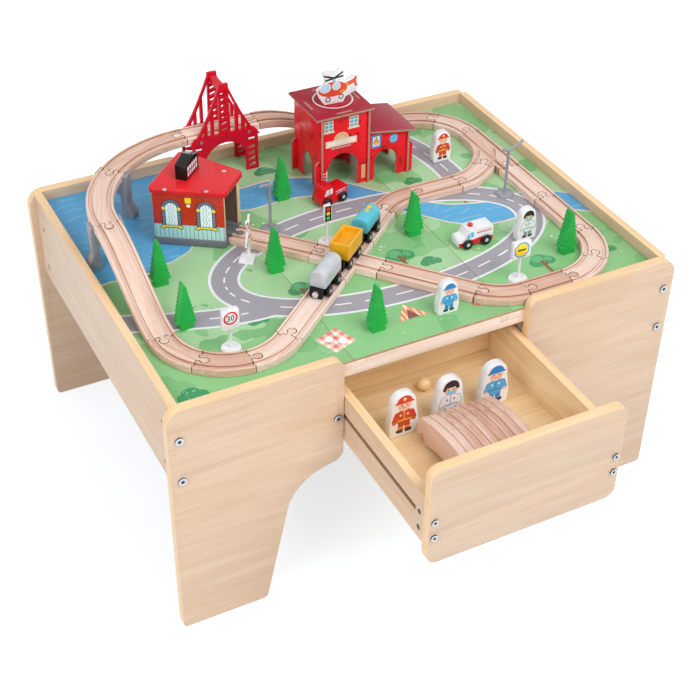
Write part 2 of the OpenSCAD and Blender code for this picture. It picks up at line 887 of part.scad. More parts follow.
module small_curves() {
    color(beech) on_board() {
        translate([ramp_end.x, ramp_end.y, 0])
            for (p = [loop_from, loop_1, loop_2]) pose(turn(p, -loose)) curved_track(small_r, bend);
        pose(turn(middle_end, middle_play)) curved_track(small_r, -bend);
        pose([join_x, join_from.y, 0]) curved_track(small_r, bend);
        pose(turn(front_end, front_play)) curved_track(small_r, bend);
        for (p = [corner_from, [right_x, switch_top, 90]]) {
            pose(p) curved_track(small_r, bend);
            pose(walk(p, [0, small_r, bend])) curved_track(small_r, bend);
        }
    }
}

module raised_curves() {
    start = [deck_left, line_y, 180];
    color(beech) on_board() translate([0, 0, rise])
        for (p = [start, walk(start, [0, big_r, bend])]) pose(p) curved_track(big_r, bend);
}

// Height of a ramp at share t of its length
function ramp_z(t, up) = rise * (up ? t * t * (3 - 2 * t) : 1 - t * t * (3 - 2 * t));

module ramp_band(long, up, low, high) {
    steps = 20;
    span = long - joint_gap;
    polygon(concat(
        [for (i = [0 : steps]) [joint_gap / 2 + span * i / steps, ramp_z(i / steps, up) + low]],
        [for (i = [steps : -1 : 0]) [joint_gap / 2 + span * i / steps, ramp_z(i / steps, up) + high]]
    ));
}

module ramp_track(long, up) {
    a = gauge / 2 - groove_w / 2;
    b = gauge / 2 + groove_w / 2;
    difference() {
        union() {
            upright(track_w) ramp_band(long, up, 0, track_t - groove_d);
            upright(2 * a) ramp_band(long, up, groove_d, track_t);
            for (s = [-1, 1])
                translate([0, s * (b + track_w / 2) / 2, 0])
                    upright(track_w / 2 - b) ramp_band(long, up, groove_d, track_t);
            translate([long, 0, up ? rise : 0]) peg();
        }
        translate([0, 0, up ? 0 : rise]) socket();
    }
}

module ramps() {
    color(beech) on_board() {
        pose(ramp_down) ramp_track(left_ramp_l, false);
        pose(walk(rear_from, [short_rear, 0, 0])) ramp_track(right_ramp_l, true);
    }
}

// Two lines crossing at a right angle, with two pegs and two sockets
module crossing() {
    color(beech) on_board() pose(cross_pose) difference() {
        union() {
            for (a = [0, 90])
                rotate(a) translate([joint_gap / 2 - arm, 0, 0]) rail_blank(cross_len - joint_gap, false);
            for (a = [0, -90]) rotate(a) translate([arm, 0, 0]) peg();
        }
        for (a = [0, 90]) rotate(a) translate([-arm, 0, 0]) groove_cut(cross_len);
        for (a = [0, -90]) rotate(a) translate([-arm, 0, 0]) socket();
    }
}

// Points of the arc of radius r on the switch's branch, about the middle of its bow
function bow_arc(r) = [for (i = [0 : arc_steps])
    let (a = -90 + (bend - merge_trim) * i / arc_steps) r * [cos(a), sin(a)]];

function reversed(list) = [for (i = [len(list) - 1 : -1 : 0]) list[i]];

// Plan of the switch: the straight line with its peg, and the branch up to where it joins
module switch_plan(long, branch, bow) {
    w = track_w / 2;
    translate([joint_gap / 2, -w]) square([long - joint_gap, track_w]);
    translate([long - joint_gap, -neck_w / 2]) square([neck_l + joint_gap, neck_w]);
    translate([long + neck_l, 0]) circle(d = peg_d);
    pose(branch) translate([joint_gap / 2, -w]) square([branch_stub, track_w]);
    pose(bow) translate([0, small_r])
        polygon(concat(bow_arc(small_r + w), reversed(bow_arc(small_r - w))));
}

// A straight line with a branch that joins it from the left
module switch() {
    long = switch_top - switch_y;
    branch = [merge_y - switch_y - branch_y, branch_x, -bend];
    bow = walk(branch, [branch_stub, 0, 0]);
    color(beech) on_board() pose([right_x, switch_y, 90]) difference() {
        linear_extrude(track_t) switch_plan(long, branch, bow);
        groove_cut(long);
        pose(branch) groove_cut(branch_stub);
        for (s = [-1, 1]) pose(bow) translate([0, small_r, 0])
            rotate(-90) rotate_extrude(angle = bend - merge_trim)
                translate([small_r + s * gauge / 2 - groove_w / 2, track_t - groove_d])
                    square([groove_w, groove_d + 1]);
        socket();
        pose(branch) socket();
    }
}

// Bridge

module bridge_deck() {
    color(beech) on_board() translate([0, 0, rise])
        pose([deck_right, line_y, 180]) straight_track(deck_len);
}

// Height of the main cable above the band's lower edge at share t from the tower to the band's end
function cable_z(t) = (tower_h - rise - 2) * pow(1 - t, 1.38);

module cable(side) {
    steps = 8;
    reach = truss_half - tower_w / 2;
    function at(t, drop) = [side * (tower_w / 2 - 2 + (reach + 2) * t), band_low + cable_z(t) - drop];
    polygon(concat(
        [for (i = [0 : steps - 1]) at(i / steps, 0)],
        [[side * truss_half, band_low]],
        [for (i = [steps - 1 : -1 : 0]) at(i / steps, min(1.9 * bar_w, cable_z(i / steps)))]
    ));
}

// Half of the truss: cable, hangers and a lattice leg
module half_truss(side) {
    reach = truss_half - tower_w / 2;
    leg_out = truss_half - 4;
    leg_in = leg_out - bridge_leg_w;
    cable(side);
    for (t = [0.22, 0.44, 0.64]) {
        x = side * (tower_w / 2 + reach * t);
        translate([x - bar_w / 2, band_low]) square([bar_w, cable_z(t + 0.06)]);
    }
    difference() {
        polygon([[side * leg_out, 0], [side * leg_in, 0], [side * (leg_in - 1), band_low + 1],
                 [side * leg_out, band_low + 1]]);
        for (i = [0 : 3]) {
            z = 5 + i * (band_low - 19) / 4;
            high = (band_low - 19) / 4 - 2;
            polygon([[side * (leg_out - 4), z], [side * (leg_in + 4), z],
                     [side * (leg_in + 4), z + high * 0.5], [side * (leg_out - 4), z + high]]);
        }
        translate([side * (leg_out + leg_in) / 2 - 6, band_low - 10]) square([12, 6]);
    }
}

module truss_outline() {
    low = band_low;
    span = truss_half - 4 - bridge_leg_w;
    band_end = truss_half - 9;
    for (side = [-1, 1]) half_truss(side);
    polygon([[-truss_half, low], [truss_half, low], [band_end, low + band_h], [-band_end, low + band_h]]);
    // Spandrels over the arch between the legs
    difference() {
        translate([-span - 1, low - 26]) square([2 * span + 2, 27]);
        translate([0, low - 4 - span]) circle(r = span + 1.5);
    }
    // Tower with a lattice of slanting openings
    difference() {
        polygon([[-tower_w / 2, low], [tower_w / 2, low], [tower_w / 2 - 1.5, tower_h],
                 [1.5 - tower_w / 2, tower_h]]);
        for (i = [0 : 6]) {
            z = rise + band_h + i * 10.5;
            polygon([[-tower_w / 2 + 4.5, z], [tower_w / 2 - 4.5, z + 3], [tower_w / 2 - 4.5, z + 8.5],
                     [-tower_w / 2 + 4.5, z + 5.5]]);
        }
    }
}

// The two trusses, the link between their tower tops, and the studs that pin them to the deck
module bridge_trusses() {
    y = track_w / 2 + truss_gap + truss_t / 2;
    color(crimson) on_board() translate([bridge_x, line_y, 0]) {
        for (s = [-1, 1]) translate([0, s * y, 0]) {
            upright(truss_t) truss_outline();
            for (x = [-stud_x, stud_x])
                translate([x, s * (truss_t / 2 - 1), band_low + band_h / 2]) rotate([-90 * s, 0, 0])
                    cylinder(d = stud_d, h = 1 + stud_h);
        }
        translate([0, 0, tower_h - link_drop - link_h / 2]) cube([link_w, 2 * y, link_h], center = true);
    }
}

// A pier: two splayed feet, a plate under the track and a lug beside each edge of it
module pier_outline() {
    w = pier_w / 2;
    in = track_w / 2 + 0.6;
    difference() {
        polygon(rounded([
            [-w, 0, 2], [w, 0, 2], [w, 8, 3], [in + 4, 24, 8], [in + 5, rise + 8, 2], [in, rise + 8, 1],
            [in, rise, 0], [-in, rise, 0], [-in, rise + 8, 1], [-in - 5, rise + 8, 2], [-in - 4, 24, 8],
            [-w, 8, 3]
        ]));
        polygon(rounded([
            [8 - in, -1, 0], [in - 8, -1, 0], [in - 6, rise - 22, 8], [6 - in, rise - 22, 8]
        ]));
        translate([-5, rise - 17]) square([10, 9]);
    }
}

// One pier stands under the joint of the raised curves, the other under their end before the ramp
module bridge_piers() {
    start = [deck_left, line_y, 180];
    end_turn = (pier_l / 2 + joint_gap) / big_r * 180 / PI;
    color(grey) on_board() for (a = [bend, 2 * bend - end_turn])
        pose(walk(start, [0, big_r, a])) rotate(90) upright(pier_l) pier_outline();
}

// Shed: its frame starts at the narrow end and runs back along -X

module shed_place() {
    on_board() pose(turn(shed_pose, 180)) children();
}

function shed_half(x) = shed_w / 2 - x * tan(shed_slant);

module shed_plan(grow, r) {
    x0 = -shed_l - grow;
    polygon(rounded([[x0, -shed_half(x0) - grow, r], [grow, -shed_half(grow) - grow, r],
                     [grow, shed_half(grow) + grow, r], [x0, shed_half(x0) + grow, r]]));
}

module shed_base() {
    color("#62666E") shed_place() difference() {
        union() {
            translate([-joint_gap / 2 - 1, 0, 0]) linear_extrude(shed_base_t) shed_plan(1, 6);
            peg();
        }
        translate([-shed_l - 10, 0, shed_base_t - track_t]) groove_cut(shed_l + 20);
    }
}

module shed_wall(side) {
    long = shed_l / cos(shed_slant);
    translate([-1, side * (shed_w / 2 - 1), shed_base_t])
        rotate(180 - side * shed_slant)
            translate([0, side > 0 ? 0 : -shed_wall_t, 0])
                cube([long - 2, shed_wall_t, shed_wall_h]);
}

module shed_walls() {
    color("#C93A1A") shed_place() for (side = [-1, 1]) shed_wall(side);
}

module shed_roof() {
    color("#E8353B") shed_place()
        translate([0, 0, shed_base_t + shed_wall_h])
            linear_extrude(shed_roof_t) shed_plan(shed_eaves, 8);
}

// The roof ventilator, a block with a sloping top
module shed_vent() {
    color(black) shed_place()
        translate([-shed_l * 0.67, 0, shed_base_t + shed_wall_h + shed_roof_t])
            along_x(vent_w)
                polygon(rounded([[-vent_l / 2, 0, 0], [vent_l / 2, 0, 0], [vent_l / 2, vent_h, 2],
                                 [4, vent_h + 6, 3], [-vent_l / 2, vent_h, 2]]));
}

// Fire station of slotted boards

// Height of the wing's walls at x
function wing_z(x) = wing_h - (x - station_mid) * wing_drop / (wing_w + lap_tab);

module arch(x, wide, high) {
    translate([x - wide / 2, -1]) square([wide, high - wide / 2 + 1]);
    translate([x, high - wide / 2]) circle(d = wide);
}

module long_wall_outline() {
    left = station_x - lap_tab;
    right = station_end + lap_tab;
    main = [station_x + slot_w / 2, station_mid - slot_w / 2];
    wing = [station_mid + slot_w / 2, station_end - slot_w / 2];
    difference() {
        union() {
            polygon(rounded(box_corners(left, -12, right, lap_h, 10)));
            translate([main[0], lap_h - 20]) square([main[1] - main[0], main_h - lap_h + 20]);
            polygon([[wing[0], lap_h - 20], [wing[1], lap_h - 20], [wing[1], wing_z(wing[1])],
                     [wing[0], wing_z(wing[0])]]);
            translate([station_x + main_w / 2 - roof_tab / 2, main_h - 1]) square([roof_tab, wall_t + 1]);
        }
        translate([left - 1, -20]) square([right - left + 2, 20]);
        arch(station_x + main_w * 0.46, 52, 62);
        arch(station_mid + wing_w * 0.45, 40, 50);
        for (x = wall_xs) translate([x - slot_w / 2, lap_h - 12]) square([slot_w, 20]);
    }
}

module station_front() {
    color(red) on_board() translate([0, station_y, 0]) upright(wall_t) long_wall_outline();
}

module station_back() {
    color(red) on_board() translate([0, station_y + station_d, 0]) upright(wall_t) long_wall_outline();
}

// Outline of a cross wall over the depth of the station, slotted from below
module cross_wall_outline(high, tab) {
    lap = lap_h - 12 + slot_gap;
    difference() {
        union() {
            polygon(rounded([[-cross_tab, 0, 0], [station_d + cross_tab, 0, 0],
                             [station_d + cross_tab, high, 0], [-cross_tab, high, 0]]));
            if (tab) translate([station_d / 2 - roof_tab / 2, high - 1]) square([roof_tab, wall_t + 1]);
        }
        for (y = [0, station_d]) translate([y - slot_w / 2, -1]) square([slot_w, lap + 1]);
        arch(station_d / 2, 30, 50);
    }
}

module station_cross_walls() {
    color(red) on_board() for (i = [0 : 2])
        translate([wall_xs[i], station_y, 0]) rotate(90) upright(wall_t)
            cross_wall_outline(wall_hs[i], i < 2);
}

module station_roofs() {
    main_l = station_x - wall_t / 2 - roof_eaves;
    deep = station_d + 2 * cross_tab;
    color(roof_red) on_board() {
        translate([0, station_y, main_h]) difference() {
            block([main_l, -cross_tab - 2, 0],
                  [station_mid + wall_t / 2 + roof_eaves - 2, deep - 2, wall_t]);
            for (x = [station_x, station_mid])
                translate([x - slot_w / 2, station_d / 2 - roof_tab / 2 - slot_gap, -1])
                    cube([slot_w, roof_tab + 2 * slot_gap, wall_t + 2]);
            for (y = [0, station_d])
                translate([station_x + main_w / 2 - roof_tab / 2 - slot_gap, y - slot_w / 2, -1])
                    cube([roof_tab + 2 * slot_gap, slot_w, wall_t + 2]);
        }
        translate([station_mid + slot_w / 2, station_y - cross_tab - 2,
                   wing_z(station_mid + slot_w / 2) + slot_gap])
            rotate([0, wing_turn, 0])
                cube([(wing_w + lap_tab) / cos(wing_turn), deep, wall_t]);
    }
}

// A helicopter cut from board on a small foot
module helicopter() {
    color(white) on_board()
        translate([station_x + main_w / 2 - 3, station_y + station_d * 0.41, main_h + wall_t]) rotate(-4) {
            upright(wall_t + 2) polygon(rounded([
                [-15, 0, 1], [17, 0, 1], [20, 8, 3], [33, 14, 4], [40, 15, 3], [43, 33, 3], [36, 43, 3],
                [26, 38, 3], [21, 34, 2], [17, 42, 3], [17, 51, 2], [11, 57, 2], [3, 53, 4], [-17, 55, 3],
                [-18, 49, 2], [-14, 42, 3], [-14, 36, 4], [-28, 26, 5], [-23, 12, 6]
            ]));
        }
}

// Train: its line runs through the crossing, and the wagons stand along it

function wagon_s(i) = train_s + (i - 1) * wagon_pitch;

module wagon(i) {
    on_board() pose(cross_pose) translate([wagon_s(i), 0, 0]) children();
}

module chassis() {
    difference() {
        translate([-chassis_l / 2, -chassis_w / 2, track_t + chassis_z])
            cube([chassis_l, chassis_w, chassis_h]);
        for (s = [-1, 1])
            translate([s * wagon_base / 2, 0, axle_z]) rotate([90, 0, 0])
                cylinder(d = axle_d + 2 * axle_gap, h = chassis_w + 2, center = true);
    }
}

module wagon_chassis() {
    color(black) for (i = [0 : 2]) wagon(i) chassis();
}

module coupling_magnets() {
    color(steel) for (i = [0 : 2]) wagon(i) for (s = [-1, 1])
        translate([s * (chassis_l + magnet_t) / 2, 0, coupling_z]) rotate([0, 90, 0])
            cylinder(d = magnet_d, h = magnet_t, center = true);
}

module along_x(long) {
    rotate([90, 0, 90]) linear_extrude(long, center = true) children();
}

module grey_tank() {
    w = grey_w / 2;
    color("#D9DADF") wagon(0) translate([0, 0, wagon_z]) along_x(grey_l)
        polygon(rounded([[-w, 0, 2], [w, 0, 2], [w, wagon_h, w - 1], [-w, wagon_h, w - 1]]));
}

module yellow_hopper() {
    w = hopper_w / 2;
    tray = w - hopper_wall;
    color("#F0A81E") wagon(1) translate([0, 0, wagon_z]) difference() {
        along_x(hopper_l)
            polygon(rounded([[1.5 - w, 0, 1], [w - 1.5, 0, 1], [w, wagon_h, 1], [-w, wagon_h, 1]]));
        translate([0, 0, wagon_h - tray_d]) along_x(hopper_l - 2 * hopper_wall)
            polygon([[1 - tray, 0], [tray - 1, 0], [tray, tray_d + 1], [-tray, tray_d + 1]]);
    }
}

module blue_tank() {
    w = blue_w / 2;
    top = wagon_h - 3;
    color("#5CC8DC") wagon(2) translate([0, 0, wagon_z]) {
        along_x(blue_l)
            polygon(rounded([[-w + 2, 0, 2], [w - 2, 0, 2], [w, 8, 5], [w - 1, top, 12],
                             [1 - w, top, 12], [-w, 8, 5]]));
        for (i = [0, 1]) translate([3 + i * knob_pitch, 0, 2]) cylinder(d = knob_d, h = top);
    }
}

// Two wheels on an axle across the line of travel
module wheelset(spread) {
    rotate([90, 0, 0]) {
        cylinder(d = axle_d, h = spread + wheel_w, center = true);
        for (s = [-1, 1]) translate([0, 0, s * spread / 2]) wheel();
    }
}

module wheel() {
    h = wheel_w / 2;
    rotate_extrude() polygon([[0, -h], [wheel_r - 1, -h], [wheel_r, 1 - h], [wheel_r, h - 1],
                              [wheel_r - 1, h], [0, h]]);
}

module wagon_wheels(i, end) {
    color(black) wagon(i) translate([end * wagon_base / 2, 0, axle_z]) wheelset(gauge);
}

module grey_front_wheels() wagon_wheels(0, -1);
module grey_rear_wheels() wagon_wheels(0, 1);
module yellow_front_wheels() wagon_wheels(1, -1);
module yellow_rear_wheels() wagon_wheels(1, 1);
module blue_front_wheels() wagon_wheels(2, -1);
module blue_rear_wheels() wagon_wheels(2, 1);

// Road vehicles, each with its front towards -X in its own frame

module car_body(place, outline) {
    on_board() pose(place) difference() {
        upright(car_w) polygon(rounded(outline));
        for (s = [-1, 1])
            translate([s * car_base / 2, 0, road_axle_z]) rotate([90, 0, 0])
                cylinder(d = axle_d + 2 * axle_gap, h = car_w + 2, center = true);
    }
}

module car_wheels(place, end) {
    color(black) on_board() pose(place)
        translate([end * car_base / 2, 0, road_axle_z]) wheelset(road_gauge);
}

module fire_truck() {
    color(red) car_body(truck_pose, [
        [-25, car_z, 3], [27, car_z, 2], [27, 27, 3], [-1, 27, 1], [-2, 35, 3], [-20, 35, 5], [-27, 18, 8]
    ]);
}

module truck_front_wheels() car_wheels(truck_pose, -1);
module truck_rear_wheels() car_wheels(truck_pose, 1);

module ambulance() {
    roof = 32;
    color(white) {
        car_body(ambulance_pose, [
            [-30, car_z, 3], [29, car_z, 2], [29, roof, 4], [-14, roof, 4], [-19, 20, 3], [-31, 17, 5]
        ]);
        on_board() pose(ambulance_pose) translate([-6, 0, roof - 2]) cylinder(d = 8, h = 6);
    }
}

module ambulance_front_wheels() car_wheels(ambulance_pose, -1);
module ambulance_rear_wheels() car_wheels(ambulance_pose, 1);

// Loose pieces on the board

// Half width of a tree at the foot of tier k
function tier_w(k) = tree_w / 2 * (1 - 0.88 * k / tiers);

module tree_outline() {
    step = (tree_h - tree_foot_h) / (tiers + 0.3);
    foot = tree_foot_w / 2;
    right = [for (k = [0 : tiers - 1]) each [
        [tier_w(k), tree_foot_h + k * step + 2],
        [tier_w(k) * 0.98, tree_foot_h + k * step + 4],
        [tier_w(k + 1) * (1 - tier_notch), tree_foot_h + (k + 1) * step + 1]
    ]];
    half = concat([[foot, 0], [foot, tree_foot_h - 2], [foot - 2, tree_foot_h]], right, [[1.5, tree_h - 1]]);
    left = [for (i = [len(half) - 1 : -1 : 0]) [-half[i].x, half[i].y]];
    polygon(concat(half, [[0, tree_h]], left));
}

module tree_set() {
    color("#1FA84A") on_board()
        for (p = trees) translate([p.x, p.y, 0]) upright(tree_t) tree_outline();
}

// A figure's blank: a board with a round head and slightly waisted sides
module figure_outline() {
    w = figure_w / 2;
    h = figure_h;
    polygon(rounded([[-w + 1, 0, 3], [w - 1, 0, 3], [w, h * 0.3, 9], [w - 2.5, h * 0.62, 14],
                     [w - 5, h, 12], [5 - w, h, 12], [2.5 - w, h * 0.62, 14], [-w, h * 0.3, 9]]));
}

module figure_set() {
    color(white) on_board()
        for (p = figures) translate([p.x, p.y, 0]) upright(figure_t) figure_outline();
}

module post(high) {
    cylinder(d1 = post_base_d, d2 = post_base_d - 3, h = post_base_h);
    cylinder(d = post_d, h = high);
}

module plate(w, low, high) {
    upright(post_d + 1.5) polygon(rounded(box_corners(-w / 2, low, w / 2, high, 3)));
}

// The zone sign, the stop sign, the level-crossing sign and the traffic light
module road_signs() {
    color(white) on_board() {
        translate([zone_sign.x, zone_sign.y, 0]) {
            post(sign_h - 8);
            plate(zone_w, sign_h - zone_h, sign_h);
        }
        translate([stop_sign.x, stop_sign.y, 0]) {
            post(sign_h - 8);
            plate(stop_w, sign_h - stop_h, sign_h);
        }
        translate([light_post.x, light_post.y, 0]) {
            post(sign_h - 8);
            plate(light_w, sign_h - light_h, sign_h);
        }
        pose(cross_sign) {
            // A bowed foot
            upright(22) intersection() {
                translate([0, 6 - 24]) circle(r = 24);
                translate([-15, 0]) square([30, 10]);
            }
            translate([5, 0, 3]) cylinder(d = post_d, h = cross_z - 3);
            for (s = [-1, 1])
                translate([5, s * 0.6, cross_z]) rotate([0, s * arm_tilt, 0])
                    cube([arm_w, arm_t, arm_l], center = true);
        }
    }
}

// A lamp: a post with a long rising arm and a short arm opposite
module street_lamps() {
    color(grey) on_board() for (p = lamps) pose(p) {
        post(lamp_h);
        translate([0, 0, lamp_h - 2]) {
            sphere(d = post_d + 1);
            rotate([0, 66, 0]) cylinder(d = post_d, h = 28);
            rotate([0, -72, 0]) cylinder(d = post_d, h = 10);
        }
    }
}

leg_front_left();
leg_front_right();
leg_rear_left();
leg_rear_right();
rear_apron();
side_panel_left();
side_panel_right();
board_rails();
seam_battens();
play_boards();
runner_panels();
drawer_runners();
frame_bolts();
drawer_front();
drawer_sides();
drawer_back();
drawer_floor();
drawer_bolts();
spare_curves();
stored_figures();
wooden_ball();
straight_tracks();
small_curves();
raised_curves();
ramps();
crossing();
switch();
bridge_deck();
bridge_trusses();
bridge_piers();
shed_base();
shed_walls();
shed_roof();
shed_vent();
station_front();
station_back();
station_cross_walls();
station_roofs();
helicopter();
wagon_chassis();
grey_tank();
yellow_hopper();
blue_tank();
coupling_magnets();
grey_front_wheels();
grey_rear_wheels();
yellow_front_wheels();
yellow_rear_wheels();
blue_front_wheels();
blue_rear_wheels();
fire_truck();
truck_front_wheels();
truck_rear_wheels();
ambulance();
ambulance_front_wheels();
ambulance_rear_wheels();
tree_set();
figure_set();
road_signs();
street_lamps();
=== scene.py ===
# %% [markdown]
# # A wooden train table, dressed for the studio
#
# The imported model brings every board, track and toy at its real size. This lesson rounds their
# edges, gives each one its finish and prints the toys, without moving anything. Lengths are in
# metres, as the frame has them, and drawings on the toys are in millimetres.

# %% The frame
import copy
import json
import math
from functools import reduce
from operator import matmul, or_

import bmesh
import bpy
import numpy as np
from mathutils import Matrix, Vector
from mathutils.bvhtree import BVHTree

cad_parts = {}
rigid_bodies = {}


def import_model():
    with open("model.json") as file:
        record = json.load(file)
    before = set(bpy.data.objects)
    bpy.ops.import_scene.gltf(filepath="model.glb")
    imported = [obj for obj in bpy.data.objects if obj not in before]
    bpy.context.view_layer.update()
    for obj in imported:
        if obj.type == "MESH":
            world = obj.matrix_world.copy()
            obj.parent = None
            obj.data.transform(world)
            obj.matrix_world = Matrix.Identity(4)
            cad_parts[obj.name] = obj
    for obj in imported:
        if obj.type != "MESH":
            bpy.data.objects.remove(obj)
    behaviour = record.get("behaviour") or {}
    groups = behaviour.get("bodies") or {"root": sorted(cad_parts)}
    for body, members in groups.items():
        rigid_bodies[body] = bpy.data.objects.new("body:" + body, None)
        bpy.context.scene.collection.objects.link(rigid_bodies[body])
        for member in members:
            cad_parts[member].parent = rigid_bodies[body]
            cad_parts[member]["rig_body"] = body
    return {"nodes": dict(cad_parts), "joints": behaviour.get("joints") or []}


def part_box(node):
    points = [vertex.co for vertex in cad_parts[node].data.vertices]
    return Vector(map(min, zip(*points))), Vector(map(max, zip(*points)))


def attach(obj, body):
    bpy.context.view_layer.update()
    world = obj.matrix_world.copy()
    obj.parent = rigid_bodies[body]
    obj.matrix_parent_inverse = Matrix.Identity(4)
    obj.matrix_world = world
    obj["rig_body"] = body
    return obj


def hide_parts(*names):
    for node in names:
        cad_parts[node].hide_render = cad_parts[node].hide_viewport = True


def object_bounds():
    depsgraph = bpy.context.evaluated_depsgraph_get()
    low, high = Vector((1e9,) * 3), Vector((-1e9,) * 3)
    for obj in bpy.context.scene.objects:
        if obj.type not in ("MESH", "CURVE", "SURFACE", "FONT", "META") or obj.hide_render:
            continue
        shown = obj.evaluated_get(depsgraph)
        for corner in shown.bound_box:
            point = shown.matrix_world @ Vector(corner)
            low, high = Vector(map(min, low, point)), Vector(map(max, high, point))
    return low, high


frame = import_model()
nodes = frame["nodes"]
cad_low, cad_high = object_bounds()
MM = 0.001


def link(made):
    """Puts a new object into the scene."""
    bpy.context.scene.collection.objects.link(made)
    return made


# %% [markdown]
# ## Camera
#
# The table is seen from its front left corner and from well above. A long lens keeps the
# verticals calm. The camera could be aimed with a constraint, but a rotation worked out from
# yaw, pitch and roll is exact and stays put.

# %% The camera
LENS, SENSOR = 70.94, 36.0
YAW, PITCH, ROLL = (math.radians(a) for a in (27.778, 37.884, 0.965))

front_low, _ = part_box("leg_front_left")
_, rear_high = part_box("leg_rear_right")
TABLE_Y = (front_low.y + rear_high.y) / 2
EYE = Vector((-0.8077, TABLE_Y - 1.5687, 1.5300))
turns = ((-YAW, "Z"), (math.pi / 2 - PITCH, "X"), (ROLL, "Z"))
aim = reduce(matmul, [Matrix.Rotation(angle, 4, axis) for angle, axis in turns])
lens = bpy.data.cameras.new("camera")
lens.lens, lens.sensor_width = LENS, SENSOR
camera = link(bpy.data.objects.new("camera", lens))
camera.matrix_world = Matrix.Translation(EYE) @ aim
bpy.context.scene.camera = camera
print("camera at", [round(x, 3) for x in EYE])

# %% [markdown]
# ## Writing shaders as sums
#
# A shader is a graph of small nodes. Wiring each one by hand hides the idea, so a class wraps a
# socket and lets Python's own operators add the Math nodes: a mask is written as a comparison,
# two masks meet with & and join with |.

# %% A socket that can be calculated with
def operator_for(operation):
    """A method that adds one Math node for a value and another."""
    return lambda self, other: self.math(operation, self, other)


class Ink:
    """One shader value. Arithmetic on it writes Math nodes, and node() adds any other kind."""

    def __init__(self, tree, socket=None):
        self.tree, self.socket = tree, socket

    def node(self, kind, sockets=None, out=0, **settings):
        made = self.tree.nodes.new("ShaderNode" + kind)
        for name, value in settings.items():
            if name == "stops":
                self.stops(made.color_ramp.elements, value)
            else:
                setattr(made, name, value)
        for key, value in (sockets or {}).items():
            if isinstance(value, Ink):
                self.tree.links.new(value.socket, made.inputs[key])
            else:
                made.inputs[key].default_value = value
        return Ink(self.tree, made.outputs[out])

    def stops(self, elements, stops):
        while len(elements) < len(stops):
            elements.new(1.0)
        for element, (place, colour) in zip(elements, stops):
            element.position, element.color = place, colour

    def math(self, operation, *values, clamp=False):
        return self.node("Math", dict(enumerate(values)), operation=operation, use_clamp=clamp)

    __add__ = __radd__ = operator_for("ADD")
    __mul__ = __rmul__ = __and__ = operator_for("MULTIPLY")
    __sub__, __truediv__ = operator_for("SUBTRACT"), operator_for("DIVIDE")
    __lt__, __gt__ = operator_for("LESS_THAN"), operator_for("GREATER_THAN")
    __or__ = operator_for("MAXIMUM")

    def __rsub__(self, other):
        return self.math("SUBTRACT", other, self)

    def __abs__(self):
        return self.math("ABSOLUTE", self)

    def within(self, middle, half):
        """1 where the value lies no further than half from the middle."""
        return self.math("COMPARE", self, middle, half)

    def wave(self, length, start=0.0):
        """The sine of the value, with one full wave over the length."""
        return self.math("SINE", self * (2 * math.pi / length) + start)

    def stripes(self, pitch, share):
        """1 over the first share of each pitch of the value."""
        return self.math("FRACT", self / pitch) < share


def hue(code):
    """A colour such as #E6CFA8 as the linear numbers that shaders mix."""
    raw = np.array([int(code[i : i + 2], 16) for i in (1, 3, 5)]) / 255
    linear = np.where(raw <= 0.04045, raw / 12.92, ((raw + 0.055) / 1.055) ** 2.4)
    return (*(float(x) for x in linear), 1.0)


def colour_of(value):
    return value if isinstance(value, Ink) else hue(value)


def layered(ink, base, layers):
    """Paints each (colour, mask) over what lies below it."""
    colour = colour_of(base)
    for code, mask in layers:
        pair = {0: mask, 6: colour, 7: colour_of(code)}
        colour = ink.node("Mix", pair, out=2, data_type="RGBA")
    return colour


def blank(name, roughness, shine=0.5, **sockets):
    """A material with one Principled shader, and the ink to draw in it."""
    made = bpy.data.materials.new(name)
    made.use_nodes = True
    shader = made.node_tree.nodes["Principled BSDF"]
    values = {"Roughness": roughness, "Specular IOR Level": shine, **sockets}
    for key, value in values.items():
        shader.inputs[key.replace("_", " ")].default_value = value
    return made, Ink(made.node_tree)


def wear(made, colour, roughness, height=None, strength=0.0, distance=MM):
    """Joins what varies over the surface to the shader."""
    tree = made.node_tree
    sockets = tree.nodes["Principled BSDF"].inputs
    tree.links.new(colour.socket, sockets["Base Color"])
    tree.links.new(roughness.socket, sockets["Roughness"])
    if height is not None:
        settings = {"Height": height, "Strength": strength, "Distance": distance}
        tree.links.new(height.node("Bump", settings).socket, sockets["Normal"])
    return made


print("mid grey #808080 in linear light:", round(hue("#808080")[0], 3))

# %% [markdown]
# ## Floor and light
#
# A pale sweep of floor and two big soft lamps, with an even world round them, give the quiet
# shadows of a packshot. The lamps stay at a plain level, so that a colour comes out about as it
# is written. Only the floor is lifted to white, for the rays that go straight to the lens, and
# more so further out, where no line may show between floor and background.

# %% The studio
WHITE = (1.0, 1.0, 1.0, 1.0)
COOL = (1.0, 1.045, 1.095, 1.0)
FLOOR = 12.0
FLOOR_LIFT, FADE_FROM, FADE_RATE = 0.485, 1.2, 0.25
AMBIENT = 0.55
LAMPS = (
    ("key", (0.9, -2.3, 3.0), 2.6, 78),
    ("fill", (-2.6, -1.2, 1.9), 2.4, 36),
)


def seen_directly(ink):
    """1 for rays that show the background: to the lens, in a mirror or through glass."""
    kinds = ("Camera", "Glossy", "Transmission")
    return reduce(or_, [ink.node("LightPath", out=f"Is {kind} Ray") for kind in kinds])


